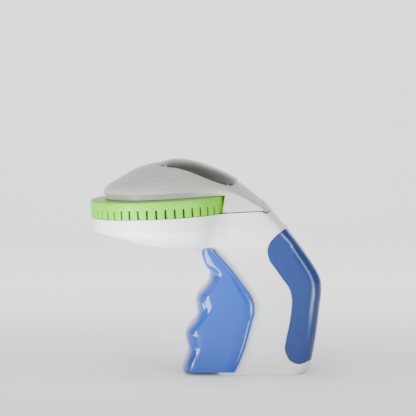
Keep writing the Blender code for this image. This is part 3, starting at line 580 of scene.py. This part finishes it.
# ---------------------------------------------------------------- housing
def handle_ring(z, grow, fine=True):
    """Plan section of the handle and neck, grown outwards."""
    rise = (smooth(HANDLE_REAR, z + 1.0) - smooth(HANDLE_REAR, z - 1.0)) / 2.0
    rear = smooth(HANDLE_REAR, z) + grow * math.sqrt(1.0 + rise * rise)
    front = smooth(HANDLE_FRONT, z) - grow
    half = smooth(HANDLE_HALF, z) + grow
    r_rear = HANDLE_R_REAR + grow
    r_front = HANDLE_R_FRONT + grow
    corner = arc(rear - r_rear, half - r_rear, r_rear, 0, 90, 12 if fine else 5)
    start = rear - r_rear
    reach = front + r_front - start
    flare = ease((z - FLARE_Z) / FLARE_RISE) * (0.0 if grow < -1.5 else 1.0)
    sides = []
    for part in spread(0.08, 0.95, 14 if fine else 5):
        x = start + reach * part
        over = clamp(FILLET_X - x, 0.0, FILLET_REACH)
        out = FILLET_R - math.sqrt(FILLET_R * FILLET_R - over * over)
        sides.append((x, half + out * flare))
    nose = arc(front + r_front, half - r_front, r_front, 90, 180, 6 if fine else 3)
    upper = corner + sides + nose
    return [(x, y, z) for x, y in upper + [(x, -y) for x, y in reversed(upper)]]


def handle_solid(name, grow, fine=True):
    levels = spread(-6.0, 107.0, 92 if fine else 28)
    return loft(name, [handle_ring(z, grow, fine) for z in levels])


def bowl_solid(name, grow, top, sides=140, rounds=14):
    """Lower half of the head: drafted wall with a soft edge, then the rounded underside."""
    sink = math.radians(BOWL_KINK)
    rings = []
    for part in (0.0, 0.45, 0.9, 1.0):
        ring = []
        for i in range(sides):
            turn = 2.0 * math.pi * i / sides
            r = BOWL_R + grow - BOWL_DRAFT * part
            x = r * math.cos(turn)
            deep = min(BOWL_WALL_D, smooth(BOWL_DEPTH, x) - BOWL_LEAST)
            ring.append((x, r * math.sin(turn), top if part == 0.0 else -deep * part))
        rings.append(ring)
    for lean in spread(sink, math.radians(88.0), rounds)[1:]:
        ring = []
        for i in range(sides):
            turn = 2.0 * math.pi * i / sides
            r = (BOWL_R + grow - BOWL_DRAFT) * math.cos(lean) / math.cos(sink)
            x = r * math.cos(turn)
            full = smooth(BOWL_DEPTH, x)
            deep = min(BOWL_WALL_D, full - BOWL_LEAST)
            part = (math.sin(lean) - math.sin(sink)) / (1.0 - math.sin(sink))
            ring.append((x, r * math.sin(turn), -deep - (full + grow - deep) * part))
        rings.append(ring)
    return loft(name, rings, True)


def tree_of(obj):
    return BVHTree.FromPolygons([v.co for v in obj.data.vertices],
                                [tuple(p.vertices) for p in obj.data.polygons])


def housing_skin():
    """Head and handle as one evenly meshed skin, faired where they run together."""
    bowl = bowl_solid("bowl", 0.0, 4.0)
    handle = handle_solid("handle", 0.0)
    bowl_tree = tree_of(bowl)
    handle_tree = tree_of(handle)
    skin = combine(handle, bowl, "UNION")
    exact = tree_of(skin)
    grid = skin.modifiers.new("even", "REMESH")
    grid.mode = "VOXEL"
    grid.voxel_size = SKIN_CELL * MM
    bake(skin)

    def fair(bm):
        bm.verts.ensure_lookup_table()
        free = []
        for v in bm.verts:
            near_bowl = bowl_tree.find_nearest(v.co)[3]
            near_handle = handle_tree.find_nearest(v.co)[3]
            v.co = exact.find_nearest(v.co)[0]
            if max(near_bowl, near_handle) < FAIR_REACH * MM:
                free.append(v)
        for _ in range(FAIR_ROUNDS):
            bmesh.ops.smooth_vert(bm, verts=free, factor=0.5, use_axis_x=True, use_axis_y=True,
                                  use_axis_z=True)
    edit(skin, fair)
    return skin


def pad_outline(grow):
    """Side outline of the grip pad, with its open side beyond the handle."""
    edge = [PAD_EDGE[0], *PAD_EDGE, PAD_EDGE[-1]]
    points = []
    for i in range(len(PAD_EDGE) - 1):
        points += [between(*edge[i:i + 4], t) for t in (0.0, 0.25, 0.5, 0.75)]
    points += [PAD_EDGE[-1], *PAD_OUTSIDE]
    return [(x - grow, z + grow if z > PAD_MIDDLE else z - grow) for x, z in points]


def pad_prism(name, grow):
    return prism(name, pad_outline(grow), -32, 32)


def grip_pad():
    pad = pad_prism("back_grip", 0.0)
    combine(pad, handle_solid("pad_out", PAD_PROUD), "INTERSECT")
    combine(pad, handle_solid("pad_in", -PAD_IN), "DIFFERENCE")
    bevel(pad, 0.45, 3, 50)
    place(pad, NAVY, "housing", "back_grip_pad", 40)


def housing():
    """Both body halves, from one skin hollowed and cut apart."""
    skin = housing_skin()
    cut_plane(skin, head_point(0, 0, -SEAM_GAP), HEAD_UP)
    cut_plane(skin, Vector((0, 0, 0)), Vector((0, 0, -1)))
    inner = handle_solid("inner", -WALL, False)
    combine(inner, bowl_solid("bowl_in", -BOWL_WALL, 6.0, 72, 8), "UNION")
    combine(skin, inner, "DIFFERENCE")
    pocket = pad_prism("pocket", PAD_GAP)
    combine(pocket, handle_solid("core", -PAD_IN - 0.2), "DIFFERENCE")
    combine(skin, pocket, "DIFFERENCE")
    combine(skin, rod_y("groove", *HINGE, HINGE_R + 0.35, -26, 26), "DIFFERENCE")
    combine(skin, box("arm_window", *ARM_WINDOW), "DIFFERENCE")
    combine(skin, rod_y("pivot_hole", *PIVOT, PIVOT_R, -19, 19), "DIFFERENCE")
    combine(skin, box("exit_notch", *EXIT_NOTCH, True), "DIFFERENCE")
    left = skin
    right = copy_of(skin)
    left.name = "left_shell"
    right.name = "right_shell"
    half = SPLIT_GAP / 2 * MM
    cut_plane(left, Vector((0, -half, 0)), Vector((0, 1, 0)))
    cut_plane(right, Vector((0, half, 0)), Vector((0, -1, 0)))
    return left, right


def wall_half(x, z):
    """Half width of the side wall at a point of the side view, mid wall."""
    if x > -42:
        return smooth(HANDLE_HALF, z) - 1.5
    r = BOWL_R - BOWL_DRAFT
    here = abs(x - HEAD_X)
    depth = HEAD_Z + (x - HEAD_X) * HEAD_SLOPE - z + BOSS_R
    full = smooth(BOWL_DEPTH, x - HEAD_X)
    if depth <= BOWL_WALL_D:
        return math.sqrt(r * r - here * here) - 1.3
    rise = (depth - BOWL_WALL_D) / (full - BOWL_WALL_D)
    reach = r * math.sqrt(max(0.0, 1.0 - rise * rise))
    return math.sqrt(max(1.0, reach * reach - here * here)) - 2.5


def cut_to_slope(obj):
    """Cut a hinge piece back to the slope of the cover's rear end."""
    cut_plane(obj, head_point(*SLOPE_POINT), HEAD.to_3x3() @ Vector(SLOPE_NORMAL))


def knuckle(y0, y1):
    """Hinge eye on the rear edge."""
    x, z = HINGE
    eye = rod_y("eye", x, z, HINGE_R, y0, y1, 40)
    foot = [(x - 2.6, z), (x + 1.6, z), (x + 2.0, -4.6), (x - 1.8, -6.4)]
    combine(eye, prism("web", foot, y0, y1, head=True), "UNION")
    cut_to_slope(eye)
    return eye


def finished_housing():
    left, right = housing()
    gap = SPLIT_GAP / 2
    pin = rod_y("pin_way", *HINGE, HINGE_PIN_R, -20, 20, 20)
    combine(left, knuckle(-EYE_HALF, -gap), "UNION")
    combine(right, knuckle(gap, EYE_HALF), "UNION")
    tubes = []
    bosses = []
    bores = []
    for x, z in SCREWS:
        half = wall_half(x, z)
        tubes.append(turned_y("boss", x, z, [(TUBE_BORE, -half), (TUBE_R, -half),
                                             (TUBE_R, -BOSS_GAP), (TUBE_BORE, -BOSS_GAP)]))
        bosses.append(turned_y("boss", x, z, [(0, BOSS_GAP), (BOSS_R, BOSS_GAP),
                                              (BOSS_R, half), (0, half)]))
        bores.append(turned_y("bore", x, z, [(0, -1), (BORE_R, -1), (BORE_R, SINK_Y),
                                             (SINK_R, SINK_Y), (SINK_R, 60), (0, 60)]))
    combine(left, joined("tubes", tubes), "UNION")
    combine(right, joined("bosses", bosses), "UNION")
    combine(right, joined("bores", bores), "DIFFERENCE")
    seat = [(1.98, 15.4), (3.6, 15.4), (3.6, 19.9), (1.98, 19.9)]
    combine(right, turned_y("reel", *REEL, seat, head=True), "UNION")
    twin = copy_of(pin)
    combine(left, pin, "DIFFERENCE")
    combine(right, twin, "DIFFERENCE")
    place(left, WHITE, "housing", "left_body_shell", 32)
    place(right, WHITE, "housing", "right_body_shell", 32)


# ---------------------------------------------------------------- cover and window
def cover_half(x):
    """Half width of the cover's rim."""
    if x < COVER_HALF[0][0]:
        return math.sqrt(COVER_R * COVER_R - x * x)
    return smooth(COVER_HALF, x)


def cover_solid(name, sink, low, span=72, lens=False, marks=False):
    """Cover's shape, sunk inwards, filled down to a level, and raised if it is the lens."""
    def lift(x, y):
        if lens:
            crown = LENS_CROWN * max(0.0, 1.0 - (y / LENS_REACH) ** 2)
            return ease((x - LENS_TIP) / LENS_RISE) * (LENS_PROUD + crown)
        return -ripple(x, y) if marks else 0.0

    def drop_of(p):
        return sink * min(1.0, (1.0 - p) * 12.0 + 0.15)

    parts = [0.0, 0.06, 0.12, 0.2, 0.28, 0.36]
    if marks:
        parts += spread(0.41, 0.93, 40)
    else:
        parts += [0.44, 0.52, 0.6, 0.68, 0.75, 0.81, 0.86, 0.9, 0.93]
    parts += [0.955, 0.975, 0.99, 1.0]
    top = smooth(DOME, 0.0)
    shape = [(smooth(DOME, p * COVER_R) - COVER_RIM) / (top - COVER_RIM) for p in parts]
    scale = (COVER_R - sink) / COVER_R
    verts = []
    faces = []
    columns = []
    for i in range(span + 1):
        turn = math.radians(90.0 + 180.0 * i / span)
        row = []
        for p, s in zip(parts[1:], shape[1:]):
            row.append(len(verts))
            r = p * COVER_R * scale
            z = COVER_RIM + (top - COVER_RIM) * s - drop_of(p)
            x, y = r * math.cos(turn), r * math.sin(turn)
            verts.append((x, y, z + lift(x, y)))
        columns.append(row)
    apex = len(verts)
    verts.append((0.0, 0.0, top - sink + lift(0.0, 0.0)))
    for a, b in zip(columns, columns[1:]):
        faces.append((apex, a[0], b[0]))
        for k in range(len(a) - 1):
            faces.append((a[k], a[k + 1], b[k + 1], b[k]))
    previous = list(reversed(columns[0])) + [apex] + columns[-1]
    order = [(-1, k) for k in reversed(range(1, len(parts)))] + [(1, k) for k in range(len(parts))]
    for x in spread(1.5, 62.6, 46):
        half = cover_half(x) - sink
        ridge = smooth(RIDGE, x)
        rim = smooth(RIM_FALL, x)
        row = []
        for sign, k in order:
            row.append(len(verts))
            y = -sign * half * parts[k]
            verts.append((x, y, rim + (ridge - rim) * shape[k] - drop_of(parts[k]) + lift(x, y)))
        for a in range(len(row) - 1):
            faces.append((previous[a], previous[a + 1], row[a + 1], row[a]))
        previous = row
    obj = make(name, verts, faces)

    def extruded(bm):
        rim_edges = [e for e in bm.edges if e.is_boundary]
        grown = bmesh.ops.extrude_edge_only(bm, edges=rim_edges)
        return [v for v in grown["geom"] if isinstance(v, bmesh.types.BMVert)]

    def close(bm):
        for deep, out in LIP if marks else ():
            for v in extruded(bm):
                fade = ease((LIP_END - v.co.x / MM) / 16.0)
                far = math.hypot(v.co.x, v.co.y) / MM
                v.co.x *= 1.0 - out * fade / far
                v.co.y *= 1.0 - out * fade / far
                v.co.z -= deep * MM
        for v in extruded(bm):
            v.co.z = low * MM
        bmesh.ops.triangle_fill(bm, use_beauty=True, use_dissolve=True,
                                edges=[e for e in bm.edges if e.is_boundary])
        bmesh.ops.recalc_face_normals(bm, faces=bm.faces)
    edit(obj, close)
    obj.data.transform(HEAD)
    return obj


def ripple(x, y):
    """Shallow moulded steps round the side of the dome."""
    far = math.hypot(x if x < 0 else x * 0.55, y) / COVER_R
    fade = (ease((far - RIPPLE_START) / 0.1) * ease((RIPPLE_END - far) / 0.06)
            * ease((26.0 - x) / 16.0))
    turn = (far - RIPPLE_START) * 2.0 * math.pi / RIPPLE_PITCH
    return RIPPLE_DEEP * fade * (0.5 - 0.5 * math.cos(turn)) ** 2


def smooth_outline(points, steps=5):
    """Closed outline through points, rounded between them."""
    count = len(points)
    out = []
    for i in range(count):
        near = [points[(i + k) % count] for k in (-1, 0, 1, 2)]
        out += [between(*near, n / steps) for n in range(steps)]
    return out


def window_prism(name, grow):
    """The window's outline grown outwards, drawn up through the cover."""
    points = smooth_outline(WINDOW + [(x, -y) for x, y in reversed(WINDOW[1:-1])])
    moved = []
    for i, (x, y) in enumerate(points):
        along = (Vector(points[(i + 1) % len(points)]) - Vector(points[i - 1])).normalized()
        moved.append((x - along.y * grow, y + along.x * grow))
    return loft(name, [[(x, y, z) for x, y in moved] for z in (10.0, 45.0)], True)


def mark_cover(cover):
    """Dimples near the hinge, and the notch in front of the window."""
    x, y = DIMPLE
    hole = [(0.0, DIMPLE_LOW), (DIMPLE_R, DIMPLE_LOW), (DIMPLE_R, 12.0), (0.0, 12.0)]
    for side in (-1, 1):
        combine(cover, lathe("dimple", hole, 24, x, y * side), "DIFFERENCE")
    notch = [(-x, smooth(DOME, x) - NOTCH_DEEP) for x in NOTCH_X]
    notch += [(-NOTCH_X[-1], 40.0), (-NOTCH_X[0], 40.0)]
    combine(cover, prism("notch", notch, -NOTCH_HALF, NOTCH_HALF, True), "DIFFERENCE")


def top_cover():
    cover = cover_solid("cover", 0.0, 0.3, 120, marks=True)
    combine(cover, cover_solid("cover_in", COVER_WALL, -4.0, 40), "DIFFERENCE")
    room = lathe("room", [(0.0, -3.0), (ROOM_LOW, -3.0), (ROOM_LOW, 0.3), (ROOM_HIGH, COVER_LOW),
                          (0.0, COVER_LOW)], 144)
    combine(cover, room, "DIFFERENCE")
    combine(cover, window_prism("window_hole", 0.2), "DIFFERENCE")
    mark_cover(cover)
    barrel = rod_y("barrel", *HINGE, HINGE_R, -18, 18, 40)
    cut_to_slope(barrel)
    combine(cover, barrel, "UNION")
    eye_half = EYE_HALF + 0.4
    combine(cover, rod_y("eye_room", *HINGE, HINGE_R + 0.5, -eye_half, eye_half, 40), "DIFFERENCE")
    combine(cover, rod_y("pin_way", *HINGE, HINGE_PIN_R, -17, 17, 24), "DIFFERENCE")
    bevel(cover, 0.35, 2, 55)
    place(cover, COVER_WHITE_PAINTED_SHADE, "cover", "top_cover", 40)


def view_window():
    lens = cover_solid("window", 0.0, -4.0, 72, lens=True)
    combine(lens, window_prism("lens_edge", 0.0), "INTERSECT")
    room = cover_solid("lens_room", LENS_WALL, -6.0, 40, lens=True)
    combine(room, window_prism("lens_inset", -LENS_WALL), "INTERSECT")
    combine(lens, room, "DIFFERENCE")
    combine(lens, cover_solid("lens_under", 1.75, -6.0, 40), "DIFFERENCE")
    bevel(lens, 0.3, 2, 55)
    place(lens, SMOKE, "cover", "view_window", 40)


# ---------------------------------------------------------------- wheel
def character_wheel():
    sides = PETALS * PETAL_STEPS
    profile = [(WHEEL_BORE, PLATE_LOW), (WHEEL_BORE, WHEEL_TOP), (42.8, WHEEL_TOP),
               (43.35, 10.45), (43.75, 10.1)]
    profile += [(WHEEL_R, z) for z in (9.6, 7.6, 6.8, 6.2, 5.4, 3.6, 1.8, 0.5)]
    profile += [(43.6, 0.1), (43.2, 0.0), (WHEEL_SKIRT, 0.0), (WHEEL_SKIRT, PLATE_LOW)]
    verts = []
    for i in range(sides):
        turn = 2.0 * math.pi * i / sides
        cell = (i / PETAL_STEPS - SLOT_PHASE) % 1.0
        across = abs(cell - 0.5) * 2.0
        crown = across ** 5 * PETAL_CROWN
        for r, z in profile:
            low = ease(SLOT_H + 1.0 - z) if r > 43.0 else 0.0
            q = r - crown * low
            verts.append((q * math.cos(turn), q * math.sin(turn), z))
    wheel = make("wheel", verts, ring_faces(sides, len(profile)), True)
    combine(wheel, slots("slots", 41.0, 46.0, -1.0, SLOT_H, SLOT_W), "DIFFERENCE")
    place(wheel, LIME, "wheel", "character_wheel", 30)


def slots(name, inner, outer, low, high, width):
    """Radial slots with rounded tops, as separate blocks in one mesh."""
    half = width / 2
    outline = [(-half, low), (half, low)]
    outline += [(half * math.cos(math.radians(a)), high - half + half * math.sin(math.radians(a)))
                for a in (0, 45, 90, 135, 180)]
    verts = []
    faces = []
    count = len(outline)
    for i in range(PETALS):
        turn = 2.0 * math.pi * (i + SLOT_PHASE) / PETALS
        c = math.cos(turn)
        s = math.sin(turn)
        base = len(verts)
        for r in (inner, outer):
            for y, z in outline:
                verts.append((r * c - y * s, r * s + y * c, z))
        faces.append(tuple(base + k for k in range(count)))
        faces.append(tuple(base + count + k for k in reversed(range(count))))
        for k in range(count):
            m = (k + 1) % count
            faces.append((base + k, base + count + k, base + count + m, base + m))
    return make(name, verts, faces, True)


# ---------------------------------------------------------------- trigger
def trigger_ring(z):
    """U-shaped plan section with a beaded rear edge and scooped front corners."""
    front = smooth(TRIG_FRONT, z)
    rear = smooth(TRIG_REAR, z)
    depth = rear - front
    scoop = max(deep * (0.5 + 0.5 * math.cos(math.pi * clamp((z - g) / GROOVE_REACH, -1.0)))
                for g, deep in GROOVES)
    long = min(NOSE_LONG[0] + NOSE_LONG[1] * scoop, depth * 0.55)
    wide = NOSE_WIDE[0] + NOSE_WIDE[1] * scoop
    wide = NOSE_LEAST + wide * ease((NOSE_Z - z) / NOSE_RISE)
    half = TRIG_HALF
    inner = half - TRIG_WALL
    face = half - FACE_IN
    nose = front + long
    bead = [(rear, inner + 0.5), (rear, half - 0.5), (rear - 0.15, half - 0.15), (rear - 0.5, half),
            (rear - 1.4, half), (rear - 1.75, half - 0.5), (rear - 2.2, half - 0.65),
            (rear - BEAD_LONG, face)]
    if rear - BEAD_LONG - nose < 1.0:
        squeeze = max(0.0, (rear - nose - 0.3) / (BEAD_LONG + 1.0))
        bead = [(rear - (rear - x) * squeeze, y) for x, y in bead]
    start = bead[-1][0]
    outer = bead + [(start + (nose - start) * p, face) for p in (0.25, 0.5, 0.75)]
    outer += [(nose + long * x, face - wide + wide * y) for x, y in arc(0, 0, 1.0, 90, 180, 20)]
    edge = 8.0 if z < 56 else max(2.4, min(8.0, depth * 0.42))
    bend = max(0.6, edge - TRIG_WALL)
    back = [(rear, inner), (rear - 0.2 * depth, inner), (rear - 0.4 * depth, inner)]
    back += arc(front + TRIG_WALL + bend, inner - bend, bend, 90, 180, 12)
    loop = outer + [(x, -y) for x, y in reversed(outer)]
    back = [(x, -y) for x, y in back] + list(reversed(back))
    return [(x, y, z) for x, y in loop + back]


def trigger():
    levels = [TRIG_LOW, TRIG_LOW + 0.5] + spread(3.5, TRIG_HIGH - 0.8, 76) + [TRIG_HIGH]
    shell = loft("trigger_shell", [trigger_ring(z) for z in levels])
    combine(shell, bowl_solid("bowl_room", TRIG_GAP, 4.0), "DIFFERENCE")
    combine(shell, handle_solid("neck_room", 0.5), "DIFFERENCE")
    combine(shell, rod_y("pin_way", *PIVOT, PIVOT_R, -19.9, 19.9), "DIFFERENCE")
    bevel(shell, 0.5, 3, 60)
    place(shell, BLUE, "trigger_lever", "trigger", 50)


# ---------------------------------------------------------------- springs
def coil(name, start, axis, side, length, radius, wire, turns, spline=12, step=24):
    """Round wire wound about an axis, from the start, with side as its first direction."""
    other = axis.cross(side)
    rings = []
    total = turns * step
    for i in range(total + 1):
        turn = 2.0 * math.pi * i / step
        out = side * math.cos(turn) + other * math.sin(turn)
        centre = start + axis * (length * i / total) + out * radius
        rings.append([tuple(centre + (out * math.cos(2 * math.pi * k / spline)
                                      + axis * math.sin(2 * math.pi * k / spline)) * wire)
                      for k in range(spline)])
    return loft(name, rings)


def springs():
    start, *rest = RETURN_SPRING
    back = coil("return_spring", Vector(start), Vector((-1, 0, 0)), Vector((0, 0, 1)), *rest)
    place(back, STEEL, "housing", "trigger_return_spring", 80)
    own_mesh(back)
    start, length, *rest = PRESS_SPRING
    start = head_point(*start) / MM
    lift = coil("press_spring", start, HEAD_UP, Vector((0, 1, 0)), length, *rest)
    place(lift, STEEL, "housing", "plunger_spring", 80)
    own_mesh(lift)


# ---------------------------------------------------------------- carried-over nodes
FINISH = [
    (WHITE, ["base_cap"]),
    (NYLON, ["wheel_deck", "plunger_guide", "label_exit_guide", "punch_wheel", "wheel_hub",
             "drive_arm", "feed_pawl", "ratchet_wheel", "tape_spool"]),
    (STEEL, ["press_frame", "spindle_clip", "detent_spring", "drive_roller", "cutter_blade",
             "body_screw_1", "body_screw_2", "body_screw_3", "body_screw_4", "body_screw_5"]),
    (BRIGHT, ["wheel_spindle", "trigger_pivot_pin", "cover_hinge_pin", "feed_axle",
              "pressure_axle", "tape_axle", "drive_roller_pin", "emboss_plunger"]),
    (TAPE, ["tape_leader", "tape_roll"]),
    (SLOT_SHADE_LIME, ["die_ring"]),
    (RUBBER, ["feed_roller", "pressure_roller"]),
]


def dress_nodes():
    for mat, names in FINISH:
        for name in names:
            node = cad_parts[name]
            node.data.materials.clear()
            node.data.materials.append(mat)
            for poly in node.data.polygons:
                poly.material_index = 0


# ---------------------------------------------------------------- stage, in metres
AIM = (-0.045, 0.0, 0.06)
CAMERA_TARGET = (-0.0403, 0.0, 0.102)
CAMERA_AWAY = 1.1
CAMERA_LIFT = 5.0
CAMERA_LENS = 153.0


def area_light(name, where, aim, width, height, power):
    lamp = bpy.data.lights.new(name, "AREA")
    lamp.shape = "RECTANGLE"
    lamp.size = width
    lamp.size_y = height
    lamp.energy = power
    obj = bpy.data.objects.new(name, lamp)
    bpy.context.scene.collection.objects.link(obj)
    obj.location = where
    obj.rotation_euler = (Vector(aim) - Vector(where)).to_track_quat("-Z", "Y").to_euler()
    return obj


def floor_light(name, x, y, turn, width, height, power):
    """Upward light just over the floor, turned about the vertical and not seen itself."""
    obj = area_light(name, (x, y, 0.004), (x, y, 1.0), width, height, power)
    obj.rotation_euler = (math.pi, 0.0, math.radians(turn))
    obj.visible_camera = False


def lights():
    area_light("key", (-0.25, -1.1, 0.42), AIM, 0.6, 0.5, 7.6)
    area_light("strip", (-0.85, -0.62, 0.05), (-0.045, 0.0, 0.05), 0.32, 0.2, 6.5)
    floor_light("sweep", -0.40, -0.30, 37.0, 0.75, 0.16, 6.2)
    floor_light("sweep_far", 0.40, -0.36, -42.0, 0.7, 0.1, 3.5)
    wash = area_light("backdrop", (0.0, 0.15, 0.6), (0.0, 1.4, 0.35), 2.4, 0.4, 19.0)
    wash.visible_camera = False
    area_light("fill", (0.8, -0.85, 0.3), AIM, 0.35, 0.8, 7.0)
    area_light("top", (0.0, 0.1, 1.2), AIM, 0.9, 0.7, 5.0)
    low = area_light("low", (-0.085, -0.1, 0.004), (-0.085, -0.06, 0.2), 0.2, 0.12, 0.7)
    low.visible_glossy = False
    low.visible_camera = False


def backdrop():
    """Pale floor that curves up into a wall."""
    mesh = bpy.data.meshes.new("floor")
    width, front, back, rise, bend = 3.0, -2.5, 1.4, 2.4, 0.7
    profile = [(front, 0.0), (0.0, 0.0), (back - bend, 0.0)]
    for i in range(1, 13):
        turn = math.pi / 2 * i / 12
        profile.append((back - bend + bend * math.sin(turn), bend - bend * math.cos(turn)))
    profile.append((back, rise))
    verts = []
    for y, z in profile:
        verts += [(-width, y, z - 0.0002), (width, y, z - 0.0002)]
    faces = [(2 * i, 2 * i + 1, 2 * i + 3, 2 * i + 2) for i in range(len(profile) - 1)]
    mesh.from_pydata(verts, [], faces)
    floor = bpy.data.objects.new("floor", mesh)
    bpy.context.scene.collection.objects.link(floor)
    mesh.shade_smooth()
    mat, nodes, links, shader = tree("paper")
    cloud = noise(nodes, links, 3.0)
    tone = ramp(nodes, links, cloud, (0.94, 0.94, 0.94), (0.96, 0.96, 0.96))
    links.new(tone, shader.inputs["Base Color"])
    shader.inputs["Roughness"].default_value = 0.9
    mesh.materials.append(mat)


def stage():
    backdrop()
    world = bpy.data.worlds.new("studio")
    world.use_nodes = True
    sky = world.node_tree.nodes["Background"]
    sky.inputs["Color"].default_value = (0.97, 0.98, 1.0, 1.0)
    sky.inputs["Strength"].default_value = 0.6
    bpy.context.scene.world = world
    lights()
    camera = bpy.data.cameras.new("camera")
    camera.lens = CAMERA_LENS
    camera.sensor_width = 36.0
    camera.clip_start = 0.05
    camera.clip_end = 20.0
    view = bpy.data.objects.new("camera", camera)
    bpy.context.scene.collection.objects.link(view)
    lift = math.radians(CAMERA_LIFT)
    target = Vector(CAMERA_TARGET)
    view.location = target + CAMERA_AWAY * Vector((0, -math.cos(lift), math.sin(lift)))
    view.rotation_euler = (target - view.location).to_track_quat("-Z", "Y").to_euler()
    bpy.context.scene.camera = view


stage()
dress_nodes()
finished_housing()
grip_pad()
top_cover()
view_window()
character_wheel()
trigger()
springs()
